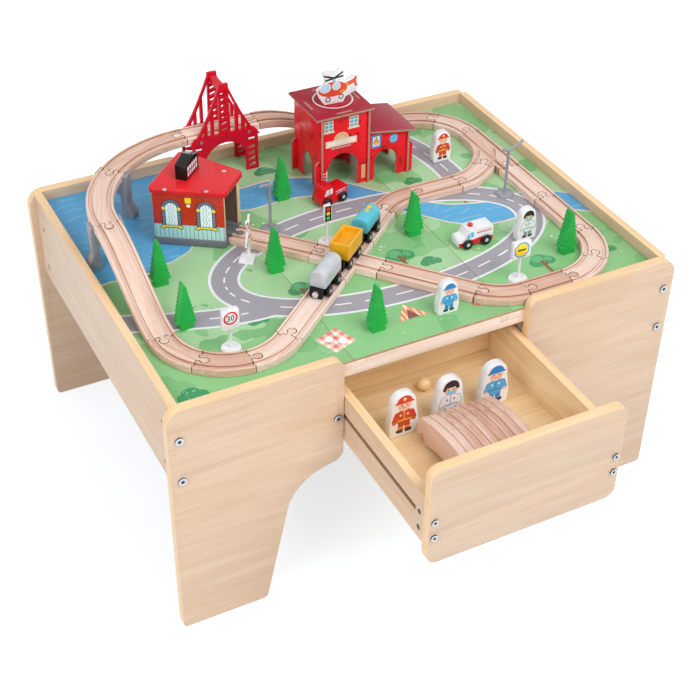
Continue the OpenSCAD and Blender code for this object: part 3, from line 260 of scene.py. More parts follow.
def studio_floor():
    corners = [(x * FLOOR, y * FLOOR, 0) for x, y in ((-1, -1), (1, -1), (1, 1), (-1, 1))]
    mesh = bpy.data.meshes.new("floor")
    mesh.from_pydata(corners, [], [(0, 1, 2, 3)])
    floor = link(bpy.data.objects.new("floor", mesh))
    made, ink = blank("studio_floor", 0.9, Base_Color=(0.82, 0.88, 0.95, 1), shine=0.1)
    spot = ink.node("TexCoord", out="Object")
    away = ink.node("VectorMath", {0: spot}, out="Value", operation="LENGTH")
    level = ink.math("MULTIPLY", away - FADE_FROM, FADE_RATE, clamp=True) + FLOOR_LIFT
    lift = ink.node("Emission", {"Color": COOL, "Strength": seen_directly(ink) * level})
    tree = made.node_tree
    paint = Ink(tree, tree.nodes["Principled BSDF"].outputs[0])
    both = ink.node("AddShader", {0: paint, 1: lift})
    tree.links.new(both.socket, tree.nodes["Material Output"].inputs["Surface"])
    mesh.materials.append(made)


def studio_lamps():
    aim = (cad_low + cad_high) / 2
    for name, place, size, power in LAMPS:
        lamp = bpy.data.lights.new(name, "AREA")
        lamp.shape, lamp.size, lamp.energy = "DISK", size, power
        holder = link(bpy.data.objects.new(name, lamp))
        holder.location = aim + Vector(place)
        holder.rotation_euler = Vector(place).to_track_quat("Z", "Y").to_euler()


def studio_world():
    world = bpy.data.worlds.new("studio")
    world.use_nodes = True
    bpy.context.scene.world = world
    ink = Ink(world.node_tree)
    shade = world.node_tree.nodes["Background"]
    shade.inputs["Color"].default_value = WHITE
    direct = seen_directly(ink)
    level = direct + (1 - direct) * AMBIENT
    world.node_tree.links.new(level.socket, shade.inputs["Strength"])


studio_floor()
studio_lamps()
studio_world()
bpy.context.scene.view_settings.view_transform = "Standard"
print("studio:", len(LAMPS), "lamps")

# %% [markdown]
# ## Rounded edges
#
# No board leaves the workshop with knife edges. Each CAD mesh is copied, its loose triangles are
# welded into whole faces, and a Bevel modifier rolls a narrow strip round every sharp edge. The
# copy stands for its node and rides on the same body.

# %% Copies with rolled edges
WELD = 1e-6
FLAT, SHARP = math.radians(0.5), math.radians(30)
STEEP, SQUARE, FRONTAL = 0.5, 0.7, 0.8
X, Y, Z = 0, 1, 2


def welded(node):
    """The node's surface with its triangles joined to flat faces."""
    shell = bmesh.new()
    shell.from_mesh(nodes[node].data)
    bmesh.ops.remove_doubles(shell, verts=shell.verts, dist=WELD)
    bmesh.ops.dissolve_limit(shell, angle_limit=FLAT, verts=shell.verts, edges=shell.edges)
    mesh = bpy.data.meshes.new(node + "_shape")
    shell.to_mesh(mesh)
    shell.free()
    mesh.shade_smooth()
    return mesh


def array_of(items, key, width):
    kind = np.int32 if key == "vertices" else np.float32
    flat = np.zeros(len(items) * width, kind)
    items.foreach_get(key, flat)
    return flat.reshape(-1, width)


def solid_labels(mesh):
    """A number for each vertex, the same within one solid: labels sink along the edges."""
    ends = array_of(mesh.edges, "vertices", 2)
    label = np.arange(len(mesh.vertices))
    while True:
        low = label[ends].min(1)
        fresh = label.copy()
        np.minimum.at(fresh, ends[:, 0], low)
        np.minimum.at(fresh, ends[:, 1], low)
        fresh = fresh[fresh]
        if (fresh == label).all():
            return np.unique(label, return_inverse=True)[1]
        label = fresh


def rounded(node, width, materials, choose=None, segments=2):
    """A copy of a node with edges rolled to a width in mm; choose() gives each face its material."""
    mesh = welded(node)
    for made in materials:
        mesh.materials.append(made)
    if choose is not None:
        normal, centre = (array_of(mesh.polygons, key, 3) for key in ("normal", "center"))
        index = np.asarray(choose(normal, centre), np.int32)
        mesh.polygons.foreach_set("material_index", index)
    piece = link(bpy.data.objects.new(node + "_finished", mesh))
    if width:
        roll = piece.modifiers.new("rolled_edge", "BEVEL")
        roll.width, roll.segments = width * MM, segments
        roll.limit_method, roll.angle_limit = "ANGLE", SHARP
        roll.harden_normals = True
    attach(piece, nodes[node]["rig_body"])
    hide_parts(node)
    return piece


def faces_along(axis):
    """Material 0 on the broad faces square to the axis and 1 on the edges round them."""
    return lambda normal, centre: np.abs(normal[:, axis]) < SQUARE


def tally(what):
    """Prints how many pieces are finished by now."""
    count = sum(piece.name.endswith("_finished") for piece in bpy.data.objects)
    print(what + ":", count, "pieces finished so far")


print("edges over", round(math.degrees(SHARP)), "degrees are rolled")

# %% [markdown]
# ## The table's boards
#
# The panels are chipboard with a satin wood foil whose grain lies level, and a warmer band round
# the edges. Grain is noise that is stretched along the board: long slow streaks carry the tone
# and short fine fibres the texture.

# %% Wood finishes
def stretched(ink, spot, run, across, along):
    """Noise whose features are drawn out along one axis; sizes in mm."""
    scale = [1 / (across * MM)] * 3
    scale[run] = 1 / (along * MM)
    spread = ink.node("Mapping", {"Vector": spot, "Scale": scale})
    look = {"Vector": spread, "Scale": 1.0, "Detail": 4.0, "Roughness": 0.55, "Distortion": 0.7}
    return ink.node("TexNoise", look)


def foil_wood(name, run, pale, mid, dark, across=13, along=260, roughness=0.42):
    """A foil whose grain runs along an axis; across and along are the size of its streaks in mm."""
    made, ink = blank(name, roughness, shine=0.35)
    spot = ink.node("TexCoord", out="Object")
    streak = stretched(ink, spot, run, across, along)
    vein = stretched(ink, spot, run, across / 6, along * 0.6)
    fibre = stretched(ink, spot, run, 1.1, 24)
    tone = streak * 0.5 + vein * 0.35 + fibre * 0.15
    stops = ((0.34, hue(dark)), (0.48, hue(mid)), (0.62, hue(pale)))
    colour = ink.node("ValToRGB", {"Fac": tone}, stops=stops)
    return wear(made, colour, fibre * 0.12 + (roughness - 0.06), fibre, 0.05, 0.2 * MM)


def foil_pair(name, *look):
    """One finish with its grain along x and along y."""
    return foil_wood(name + "_level", X, *look), foil_wood(name + "_side", Y, *look)


INSIDE = ("#FAE2BB", "#F3D4A6", "#E5BF8B")
panel_x, panel_y = foil_pair("maple_foil", "#E4C8AC", "#DDBEA1", "#D5B492", 19, 210)
band_x, band_y = foil_pair("edge_band", "#FBDAB2", "#F6D0A2", "#EBBF8A", 6, 90)
pine_x, pine_y = foil_pair("pale_pine", "#FFF1E4", "#FAE6D6", "#EED3BE", 5, 150, 0.55)
inside_x, inside_y = foil_pair("drawer_inside", *INSIDE)
drawer_ply = foil_wood("drawer_floor_ply", X, *INSIDE, 18, 300)
core = foil_wood("board_core", Y, "#B89A7C", "#A98868", "#8E6D50", 2, 4, 0.8)
print("woods:", [made.name for made in (panel_x, band_x, pine_x, inside_x, drawer_ply, core)])

# %% The table and the drawer
LEDGER_W = 20 * MM
for node in ("leg_front_left", "leg_front_right", "leg_rear_left", "leg_rear_right", "rear_apron"):
    rounded(node, 2.2, [panel_x, band_x], faces_along(Y), 3)
for node in ("side_panel_left", "side_panel_right"):
    rounded(node, 2.0, [panel_y, band_y], faces_along(X), 3)
rail_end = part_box("board_rails")[1].x
rounded("board_rails", 0.8, [pine_x, pine_y],
        lambda normal, centre: np.abs(centre[:, 0]) > rail_end - LEDGER_W)
rounded("seam_battens", 0.6, [pine_y])
rounded("runner_panels", 1.0, [panel_y, band_y], faces_along(X))
rounded("drawer_runners", 0.6, [pine_y])
rounded("drawer_front", 2.2, [panel_x, band_x], faces_along(Y), 3)
rounded("drawer_back", 1.4, [inside_x, band_x], faces_along(Y))
rounded("drawer_floor", 0.4, [drawer_ply])
RUNNER_DEEP, RUNNER_HALF, NEAR = 5.0 * MM, 12.0 * MM, 0.8 * MM


def side_faces(normal, centre):
    """Outer faces, banded edges, the bare core inside the runner groove, and inner faces."""
    low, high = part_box("drawer_sides")
    floor = high.x - RUNNER_DEEP
    off = np.abs(centre[:, 0])
    broad = np.abs(normal[:, 0]) > SQUARE
    level = np.abs(normal[:, 2]) > SQUARE
    middling = np.abs(centre[:, 2] - (low.z + high.z) / 2) < RUNNER_HALF
    groove = (broad & (np.abs(off - floor) < NEAR)) | (level & middling & (off > floor - NEAR))
    inner = broad & (normal[:, 0] * centre[:, 0] < 0)
    return np.where(groove, 2, np.where(inner, 3, np.where(broad, 0, 1)))


rounded("drawer_sides", 1.2, [panel_y, band_y, core, inside_y], side_faces)
tally("table and drawer")

# %% [markdown]
# ## Beech tracks
#
# A toy track is milled from a straight beech board, so even in a curved piece the grain runs
# straight from end to end. Object coordinates can't say that, because every piece lies another
# way. Each copy therefore carries two attributes: where a point lies along, across and up its own
# piece, and a tone that differs a little from piece to piece. On a ramp the way up counts for
# little, or its slope would cut through the grain. The walls of the wheel grooves and of the
# joints get a darker beech, painted shade for the shadow that falls there: a wall that looks at
# other wood close by is painted darker.

# %% Grain that follows each piece
def piece_frames(mesh):
    """Label of each vertex, and for each solid its middle and the heading of its long side."""
    spot = array_of(mesh.vertices, "co", 3).astype(float)
    label = solid_labels(mesh)
    count = np.bincount(label)
    middle = np.stack([np.bincount(label, spot[:, k]) / count for k in range(3)], 1)
    off = spot - middle[label]
    xx, xy, yy = (np.bincount(label, off[:, a] * off[:, b]) for a, b in ((0, 0), (0, 1), (1, 1)))
    return label, middle, 0.5 * np.arctan2(2 * xy, xx - yy), off


def mark_grain(piece, seed, lift):
    """Writes the attributes grain (along, across, lift times up) and tone, the same every run."""
    mesh = piece.data
    label, middle, heading, off = piece_frames(mesh)
    c, s = np.cos(heading)[label], np.sin(heading)[label]
    chance = np.random.default_rng(seed).random((len(middle), 2))
    along = off[:, 0] * c + off[:, 1] * s + 3 * chance[label, 0]
    across = off[:, 1] * c - off[:, 0] * s
    grain = np.stack([along, across, off[:, 2] * lift], 1).astype(np.float32)
    mesh.attributes.new("grain", "FLOAT_VECTOR", "POINT").data.foreach_set("vector", grain.ravel())
    tone = chance[label, 1].astype(np.float32)
    mesh.attributes.new("tone", "FLOAT", "POINT").data.foreach_set("value", tone)


def beech_wood(name, dark, mid, pale):
    made, ink = blank(name, 0.55, shine=0.3)
    spot = ink.node("Attribute", attribute_name="grain", out="Vector")
    tone = ink.node("Attribute", attribute_name="tone", out="Fac")
    streak = stretched(ink, spot, X, 3.5, 110)
    fleck = stretched(ink, spot, X, 0.7, 5)
    shade = streak * 0.9 + tone * 0.5 - 0.195
    stops = ((0.25, hue(dark)), (0.5, hue(mid)), (0.75, hue(pale)))
    colour = ink.node("ValToRGB", {"Fac": shade}, stops=stops)
    colour = layered(ink, colour, [("#C69A80", (fleck > 0.63) * 0.4)])
    return wear(made, colour, fleck * 0.15 + 0.45, fleck, 0.08, 0.2 * MM)


TRACKS = ("straight_tracks", "small_curves", "raised_curves", "ramps", "crossing", "switch",
          "bridge_deck", "spare_curves")
GROOVE_W, JOINT_W, SKIN = 6.6 * MM, 1.6 * MM, 0.02 * MM
RAMP_LIFT = 0.08


def crevices(names):
    """Painted shade: material 1 on walls across a wheel groove, 2 on walls across a joint, by what they
    face.
    """
    spots, faces, count = [], [], 0
    for name in names:
        mesh = nodes[name].data
        spots.append(array_of(mesh.vertices, "co", 3))
        faces.append(array_of(mesh.polygons, "vertices", 3) + count)
        count += len(mesh.vertices)
    wood = BVHTree.FromPolygons(np.concatenate(spots).tolist(), np.concatenate(faces).tolist())

    def choose(normal, centre):
        starts = centre + SKIN * normal
        hits = [wood.ray_cast(Vector(a), Vector(b), GROOVE_W)[3] for a, b in zip(starts, normal)]
        gap = np.array([GROOVE_W if hit is None else hit for hit in hits])
        upright = np.abs(normal[:, 2]) < STEEP
        return upright * (1 * (gap < GROOVE_W) + 1 * (gap < JOINT_W))

    return choose


beech = beech_wood("track_beech", "#D5AB97", "#E9C9B8", "#F5DED2")
# The two darker beeches are painted shade for the walls of the wheel grooves and of the joints.
groove_shade_beech = beech_wood("groove_shade_beech", "#A87C65", "#BF947C", "#CDA68F")
joint_shade_beech = beech_wood("joint_shade_beech", "#604030", "#725040", "#846150")
stored_beech = beech_wood("stored_beech", "#C3907A", "#DBB5A3", "#E9CDBF")
shut_in = crevices(TRACKS)
for turn, node in enumerate(TRACKS):
    woods = [beech, groove_shade_beech, joint_shade_beech]
    if node == "spare_curves":
        woods = [stored_beech, groove_shade_beech, groove_shade_beech]
    lift = RAMP_LIFT if node == "ramps" else 1.0
    mark_grain(rounded(node, 0.5, woods, shut_in), turn + 1, lift)
print("tracks:", len(TRACKS), "nodes")

# %% [markdown]
# ## Plain finishes
#
# Bolts, magnets, the bridge, its piers, the lamps and the turned ball need no drawing, only the
# right gloss. A faint noise in tone and roughness keeps them from looking computed.

# %% Plastic, paint and steel
def coated(name, code, roughness, spread=0.06, speck=6.0, **sockets):
    """One colour with a slight cloud in it; speck is the cloud's size in mm."""
    made, ink = blank(name, roughness, **sockets)
    spot = ink.node("TexCoord", out="Object")
    cloud = ink.node("TexNoise", {"Vector": spot, "Scale": 1 / (speck * MM), "Detail": 3.0})
    dim = tuple(0.86 * x for x in hue(code)[:3]) + (1.0,)
    colour = ink.node("ValToRGB", {"Fac": cloud}, stops=((0.35, dim), (0.65, hue(code))))
    return wear(made, colour, cloud * (2 * spread) + (roughness - spread), cloud, 0.03, 0.1 * MM)


def dress(node, made):
    """Gives a CAD node that stays as it is its finish."""
    mesh = nodes[node].data
    mesh.materials.clear()
    mesh.materials.append(made)


steel = coated("zinc_steel", "#C9CBCD", 0.28, 0.05, 2.0, Metallic=1.0)
nickel = coated("magnet_nickel", "#E2E4E6", 0.3, 0.04, 3.0, Metallic=0.7)
# A dark steel as painted shade for the bolts' sockets and the rims round their heads.
socket = coated("socket_shade_steel", "#4A4B4E", 0.45, 0.05, 2.0, Metallic=0.6)
crimson = coated("crimson_plastic", "#DC0A2A", 0.32, speck=9, shine=0.2)
pier_grey = coated("pier_grey_plastic", "#9C9DA3", 0.42, speck=7)
lamp_grey = coated("lamp_grey_plastic", "#9A9CA6", 0.38)
gloss_black = coated("gloss_black_paint", "#09090B", 0.2, shine=0.3)
tyre_black = coated("tyre_black_plastic", "#141416", 0.34, shine=0.35)
dress("coupling_magnets", nickel)
HEAD_SKIN, STUD_H = 0.2 * MM, 0.8 * MM


def below_head(node):
    """Material 1, a dark steel that is painted shade, on all that lies deeper than the flat of a bolt's
    head.
    """
    low, high = (corner.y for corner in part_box(node))
    return lambda normal, centre: (
        (centre[:, 1] > low + HEAD_SKIN) & (centre[:, 1] < high - HEAD_SKIN))


for node in ("frame_bolts", "drawer_bolts"):
    rounded(node, 0.4, [steel, socket], below_head(node))


def stud_faces(normal, centre):
    """Material 1 on the studs that stand out of the trusses' outer faces."""
    low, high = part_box("bridge_trusses")
    off = np.abs(centre[:, 1] - (low.y + high.y) / 2)
    return off > (high.y - low.y) / 2 - 0.75 * STUD_H


rounded("bridge_trusses", 0.5, [crimson, steel], stud_faces)
rounded("bridge_piers", 1.0, [pier_grey])
rounded("street_lamps", 0.6, [lamp_grey])
rounded("wagon_chassis", 1.0, [gloss_black], segments=3)
ball_wood = foil_wood("turned_ball", X, "#FFE4B4", "#FAD69E", "#E6BC7C", 4, 30)
rounded("wooden_ball", 0, [ball_wood], segments=1)
tree_green = coated("tree_green_paint", "#24B54E", 0.4, speck=14, shine=0.35)
rounded("tree_set", 0.5, [tree_green])
tally("plain finishes")

# %% [markdown]
# ## Drawing on wood
#
# The toys are printed with flat colour. An image would do it, but shapes that are written as
# distances stay sharp at any size: a disc is all points nearer than its radius. A sheet of art
# paper is laid on the piece with a Mapping node, u to the right and v up, in millimetres.

# %% The sheet of art paper
FAR = 1000.0


class Art:
    """A flat drawing in the plane of a board; its methods give masks."""

    def __init__(self, ink, origin, heading, flat, size):
        squeeze = (size * MM, size * MM, FAR) if flat else (size * MM, FAR, size * MM)
        spot = ink.node("TexCoord", out="Object")
        place = {"Vector": spot, "Location": origin, "Rotation": (0, 0, heading), "Scale": squeeze}
        self.ink, self.flat = ink, flat
        self.at = ink.node("Mapping", place, vector_type="TEXTURE")
        axes = (X, Y if flat else Z)
        self.u, self.v = (ink.node("SeparateXYZ", {0: self.at}, out=axis) for axis in axes)
        self.page = ink.node("CombineXYZ", {0: self.u, 1: self.v})

    def folded(self):
        """The sheet folded along u = 0, so that a shape above v = 0 shows on both sides."""
        half = copy.copy(self)
        half.at = self.vector("ABSOLUTE", self.at)
        half.u = abs(self.u)
        return half

    def point(self, u, v):
        return (u, v, 0) if self.flat else (u, 0, v)

    def vector(self, operation, a, b=(0, 0, 0), out="Vector"):
        return self.ink.node("VectorMath", {0: a, 1: b}, out, operation=operation)

    def near(self, u, v):
        """Distance from a point of the sheet."""
        return self.vector("DISTANCE", self.at, self.point(u, v), "Value")

    def disc(self, u, v, r):
        return self.near(u, v) < r

    def ring(self, u, v, r, wide):
        return self.near(u, v).within(r, wide / 2)

    def oval(self, u, v, ru, rv):
        """A disc on a sheet that is squeezed by the two half axes."""
        off = self.vector("SUBTRACT", self.at, self.point(u, v))
        size = (ru, rv, 1) if self.flat else (ru, 1, rv)
        return self.vector("LENGTH", self.vector("DIVIDE", off, size), out="Value") < 1.0

    def rect(self, u0, v0, u1, v1):
        return self.u.within((u0 + u1) / 2, (u1 - u0) / 2) & self.v.within((v0 + v1) / 2, (v1 - v0) / 2)

    def bar(self, a, b, r):
        """A round-ended bar: the nearest point of the line from a to b lies within r."""
        run = np.subtract(b, a)
        off = self.vector("SUBTRACT", self.at, self.point(*a))
        share = self.vector("DOT_PRODUCT", off, self.point(*(run / (run @ run))), "Value")
        share = self.ink.math("ADD", share, 0.0, clamp=True)
        stretch = {0: self.point(*run), "Scale": share}
        line = self.ink.node("VectorMath", stretch, operation="SCALE")
        return self.vector("DISTANCE", off, line, "Value") < r

    def octagon(self, u, v, r):
        """The larger of the upright and the slanting distance stays under r."""
        a, b = abs(self.u - u), abs(self.v - v)
        return ((a | b) | ((a + b) * math.sqrt(0.5))) < r

    def cloud(self, size):
        """Soft noise with features of a size in mm."""
        return self.ink.node("TexNoise", {"Vector": self.page, "Scale": 1 / size})

    def spots(self, cell):
        """Distance to the nearest of many scattered points, in cells."""
        place = {"Vector": self.page, "Scale": 1 / cell, "Randomness": 0.9}
        return self.ink.node("TexVoronoi", place, out="Distance")

    def bricks(self, wide, high, mortar, pale, dark, joint):
        place = {"Vector": self.page, "Color1": hue(pale), "Color2": hue(dark), "Mortar": hue(joint),
                 "Scale": 1.0, "Mortar Size": mortar, "Mortar Smooth": 0.0,
                 "Brick Width": wide, "Row Height": high}
        return self.ink.node("TexBrick", place, out="Color")


def printed(name, base, layers, origin, heading=0.0, flat=False, size=1.0, roughness=0.35, **sockets):
    """A material whose colour is a drawing; layers(art) gives its (colour, mask) pairs."""
    made, ink = blank(name, roughness, **sockets)
    art = Art(ink, origin, heading, flat, size)
    drawn = layers(art)
    ground = base(art) if callable(base) else base
    return wear(made, layered(ink, ground, drawn), art.cloud(3.0) * 0.1 + (roughness - 0.05))


BOARD_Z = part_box("play_boards")[1].z
print("board at", round(BOARD_Z, 4))

# %% [markdown]
# ## The play boards
#
# The boards carry a printed landscape: meadows in two greens, a lake with a river, and grey roads
# with white edge lines and dashes. Waves, ovals and noise draw it, so every line has a formula
# and nothing is traced.

# %% The landscape
ROAD_HALF, LINE_W, OUT_OF_SIGHT = 23.0, 4.2, 900.0
DASH, DASH_SHARE, DASH_HALF = 44.0, 0.55, 1.3
LAKE, LAKE_R = (-338.0, 236.0), 205.0
RING, RING_R, RING_DASH = (38.0, -62.0), (252.0, 118.0), 1 / 5.2
TREES = ((-118, -104, 15), (48, -92, 17), (232, -196, 15), (330, 226, 15), (216, 14, 13))
BUSHES = ((-348, -262, 14), (-205, -150, 10), (84, -128, 11), (172, 84, 10), (336, -216, 11),
          (-30, 214, 12))


def oval_gap(art, middle, radii):
    """Distance from an oval: how far its equation is from 1, over how fast it grows there."""
    off = art.vector("SUBTRACT", art.at, art.point(*middle))
    once = art.vector("DIVIDE", off, (*radii, 1))
    twice = art.vector("DIVIDE", once, (*radii, 1))
    reach = art.vector("LENGTH", once, out="Value")
    slope = art.vector("LENGTH", twice, out="Value")
    return (reach - 1.0) * reach / slope, off


def heads(art, u, v, r, places):
    """Discs that overlap; each place is a disc's offset and its radius, in units of r."""
    return reduce(or_, [art.disc(u + a * r, v + b * r, c * r) for a, b, c in places])


def bush(art, u, v, r):
    """Three round heads of leaves with pale dots."""
    leaves = heads(art, u, v, r, ((-0.8, 0, 0.75), (0, 0.35, 1), (0.9, -0.05, 0.7)))
    return [("#35935A", leaves), ("#A6D9AC", leaves & (art.spots(0.42 * r) < 0.2))]


def round_tree(art, u, v, r):
    """A crown of two greens on a forked trunk, lying flat on the board as if seen from the side."""
    crown = heads(art, u, v, r, ((0, 0, 1), (-0.75, -0.3, 0.66), (0.75, -0.25, 0.7)))
    light = heads(art, u, v, r, ((-0.2, 0.25, 0.6), (0.8, -0.1, 0.4)))
    trunk = art.bar((u, v - 2.1 * r), (u, v - 0.2 * r), 0.17 * r)
    branch = art.bar((u, v - r), (u + 0.6 * r, v - 0.3 * r), 0.1 * r)
    return [("#3C9A60", crown), ("#5FB478", crown & light), ("#8C5A40", trunk | branch)]


def tent(art, u, v, wide, high):
    side = abs(art.u - u)
    lift = (art.v - v) / high
    cloth = (lift + side * (2 / wide) < 1.0) & (lift > 0.0)
    door = (lift * 1.5 + side * (5 / wide) < 1.0) & (lift > 0.0)
    return [("#EF8E63", cloth), ("#F8E3C4", cloth & side.stripes(wide / 6, 0.36)), ("#8A4B3C", door)]


def blanket(art, u, v, size, turn):
    """A checked cloth with two plates."""
    a = (art.u - u) * math.cos(turn) + (art.v - v) * math.sin(turn)
    b = (art.v - v) * math.cos(turn) - (art.u - u) * math.sin(turn)
    cloth = a.within(0.0, size / 2) & b.within(0.0, size / 2)
    check = a.stripes(size / 3, 0.5) + b.stripes(size / 3, 0.5)
    plates = heads(art, u, v, size, ((-0.2, 0.12, 0.15), (0.2, -0.14, 0.15)))
    return [("#F7EBDA", cloth), ("#E77F78", cloth & (check * 0.5)), ("#FBFBF8", plates)]


def flower_bed(art, u, v, ru, rv):
    bed = art.oval(u, v, ru, rv)
    bloom = art.spots(9.0)
    return [("#B98A66", bed), ("#F2A3B4", bed & (bloom < 0.3)), ("#F7D653", bed & (bloom < 0.13))]


def landscape(art):
    u, v = art.u, art.v
    wobble = (art.cloud(90.0) - 0.5) * 70.0
    lake = art.near(*LAKE) + wobble - LAKE_R
    bend = u * -0.62 + 118.0 + u.wave(330.0, 1.1) * 34.0
    river = abs(v - bend) - 30.0 + wobble * 0.2
    water = lake.math("MINIMUM", lake, river)
    ring, off = oval_gap(art, RING, RING_R)
    lane = u - 214.0 - v.wave(520.0, 0.4) * 26.0
    west = v + 88.0 - u.wave(640.0, 0.2) * 40.0
    sides = [abs(middle) - ROAD_HALF for middle in (ring, lane, west)]
    sides[1] = sides[1] + (v < 14.0) * OUT_OF_SIGHT
    sides[2] = sides[2] + (u > -176.0) * OUT_OF_SIGHT
    road = reduce(lambda a, b: a.math("MINIMUM", a, b), sides)
    clear = [side > 0.0 for side in sides]
    turn, rise = (art.ink.node("SeparateXYZ", {0: off}, out=k) for k in (0, 1))
    angle = turn.math("ARCTAN2", rise / RING_R[1], turn / RING_R[0])
    ring_dash = angle.stripes(RING_DASH, DASH_SHARE) & ring.within(0.0, DASH_HALF) & clear[1] & clear[2]
    lane_dash = v.stripes(DASH, DASH_SHARE) & lane.within(0.0, DASH_HALF) & clear[0]
    west_dash = u.stripes(DASH, DASH_SHARE) & west.within(0.0, DASH_HALF) & clear[0]
    meadow = (v - u.wave(410.0, 2.2) * 46.0 + 140.0 + wobble * 0.3) < 0.0
    glade = art.cloud(150.0) > 0.53
    off_road = road > 5.0
    dry = water > 8.0
    flowers = (art.spots(13.0) < 0.16) & (art.cloud(120.0) > 0.6)
    blades = art.ink.node("CombineXYZ", {0: u / 34.0, 1: v / 7.0})
    blades = art.ink.node("TexVoronoi", {"Vector": blades, "Scale": 1.0}, out="Distance") < 0.1
    motifs = tent(art, -6, -238, 46, 34) + blanket(art, -128, -236, 40, 0.35)
    motifs += flower_bed(art, 108, -246, 26, 12)
    for spot in TREES:
        motifs += round_tree(art, *spot)
    for spot in BUSHES:
        motifs += bush(art, *spot)
    return [
        ("#8AC384", meadow | glade),
        ("#7AB878", (art.cloud(70.0) > 0.6) & dry),
        ("#C6E2B9", blades & off_road & dry & (art.cloud(60.0) > 0.5)),
        ("#F1F4EC", flowers & off_road & dry),
        *motifs,
        ("#EADBC6", water < 4.0),
        ("#58ABDC", water < 0.0),
        ("#7CC1E6", (water < -4.0) & ((v + wobble * 0.8).wave(19.0) > 0.93) & (art.cloud(30.0) > 0.5)),
        ("#A09DA6", road < 0.0),
        ("#ECEDF3", road.within(-LINE_W / 2, LINE_W / 2)),
        ("#F3F3F4", (ring_dash | lane_dash | west_dash) & (road < -LINE_W)),
    ]


board_print = printed("landscape_print", "#A9D3A0", landscape, (0, TABLE_Y, 0), flat=True, roughness=0.42)
board_edge = foil_wood("board_edge", X, "#CBB08C", "#B99B76", "#A08460", 2, 8, 0.7)
rounded("play_boards", 0.3, [board_print, board_edge],
        lambda normal, centre: normal[:, 2] < SQUARE)
tally("play boards")

# %% [markdown]
# ## Painted faces of the small toys
#
# A print sits on one face of a solid only. A face is chosen by the way it looks and, in a node
# with several solids, by the solid it is nearest to. Figures, signs and the helicopter face the
# front, so their sheet of art paper stands upright with its foot on the board.

# %% Figures
def middles(node):
    """The middles of a node's solids in plan, from left to right."""
    mesh = welded(node)
    spot = array_of(mesh.vertices, "co", 3)[:, :2]
    label = solid_labels(mesh)
    bpy.data.meshes.remove(mesh)
    solids = [spot[label == k] for k in range(label.max() + 1)]
    return sorted(tuple(((part.min(0) + part.max(0)) / 2).tolist()) for part in solids)


def nearest(centre, places):
    gap = np.linalg.norm(centre[:, None, :2] - np.array(places)[None], axis=2)
    return gap.argmin(1)


def inward(normal, heading):
    """How far each face looks away from a viewer of the sheet that has this heading."""
    return normal[:, 1] * np.cos(heading) - normal[:, 0] * np.sin(heading)


def person(hat, coat, trousers, line, trim, accent, gloves, badge, masked):
    """A plain toy person in flat shapes, on a blank that is 54 high: dot eyes and a small smile."""
    def layers(art):
        v = art.v
        both = art.folded()
        return [
            ("#2C2624", both.bar((3.2, 7.6), (6.6, 7.6), 2.3)),
            (trousers, both.rect(0.6, 9, 6.8, 21)),
            (trim, both.rect(0.6, 11, 6.8, 12.6) * badge),
            (line, both.bar((8, 29.5), (10.6, 22), 3.3) | art.bar((0, 22.8), (0, 27.6), 8.4)),
            (coat, both.bar((8, 29.5), (10.6, 22), 2.7)),
            (gloves, both.disc(11.1, 19.6, 2.2)),
            (coat, art.bar((0, 22.8), (0, 27.6), 7.8)),
            (trim, art.rect(-7.8, 20.4, 7.8, 22.2) | art.rect(-0.6, 22, 0.6, 34)),
            (accent, both.disc(4, 28, 1.3)),
            ("#F3CDAE", art.disc(0, 41, 8.2)),
            ("#F0AA9B", both.disc(5, 38.2, 1.5)),
            (hat, art.disc(0, 43, 9) & (v > 43)),
            (hat, art.bar((-9.5, 43.6), (9.5, 43.6), 1.2) * (1 - masked)),
            (hat, both.disc(7.4, 42, 2.2) * masked),
            (accent, art.disc(0, 47.6, 1.8) * badge),
            ("#38302E", both.disc(3, 40.4, 0.95)),
            ("#B4564A", art.ring(0, 39.2, 2.6, 0.7) & (v < 38.2)),
            ("#86C8E9", art.bar((-3, 36.6), (3, 36.6), 2.3) * masked),
        ]
    return layers


FIRE = ("#D8442B", "#D8442B", "#D8442B", "#A12C1A", "#F0BE3A", "#F7E3B0", "#B9772E", 1.0, 0.0)
DOCTOR = ("#2A2523", "#F1F4F7", "#8F959E", "#79818B", "#A9B2BD", "#D8473F", "#F3CDAE", 0.0, 1.0)
WORKER = ("#1F86CC", "#4FAEE6", "#2A8AD2", "#1D6FB2", "#2A8AD2", "#DDF0FA", "#F3CDAE", 0.0, 0.0)
white_paint = coated("white_paint", "#EFEFF3", 0.4, speck=12)
BLANK_H = 54.0


def dress_figures(node, looks, foot_z):
    places = middles(node)
    size = (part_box(node)[1].z - foot_z) / BLANK_H / MM
    prints = [printed(node + "_print", "#F4F4F4", person(*look), (*place, foot_z), size=size)
              for place, look in zip(places, looks)]

    def choose(normal, centre):
        return np.where(normal[:, 1] < -SQUARE, nearest(centre, places) + 1, 0)

    rounded(node, 2.0, [white_paint, *prints], choose, 3)


dress_figures("figure_set", (WORKER, DOCTOR, FIRE), BOARD_Z)
dress_figures("stored_figures", (FIRE, DOCTOR, WORKER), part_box("stored_figures")[0].z)
tally("figures")

# %% Signs and the helicopter
SIGN_TOP = 68.0
SIGN_FOOT = 20 * MM
CROSS_TURN = 52.0
HELI_AT, HELI_TURN = (0.062, 0.1543), math.radians(-4)
ROTOR = ((-15, 48.5), (-13, 40.5), (17, 52), (17, 44.5))


def zone_plate(art):
    c = SIGN_TOP - 14
    hooks = (art.u > -4.3) | (abs(art.v - c) > 2.4)
    three = (art.ring(-3.7, c + 2.2, 2.1, 1.4) | art.ring(-3.7, c - 2.2, 2.1, 1.4)) & hooks
    zero = art.oval(2.9, c, 2.6, 4.6) & (1 - art.oval(2.9, c, 1.2, 3.2))
    return [("#D8222C", art.ring(0, c, 9, 2.6)), ("#2B2B2B", three | zero)]


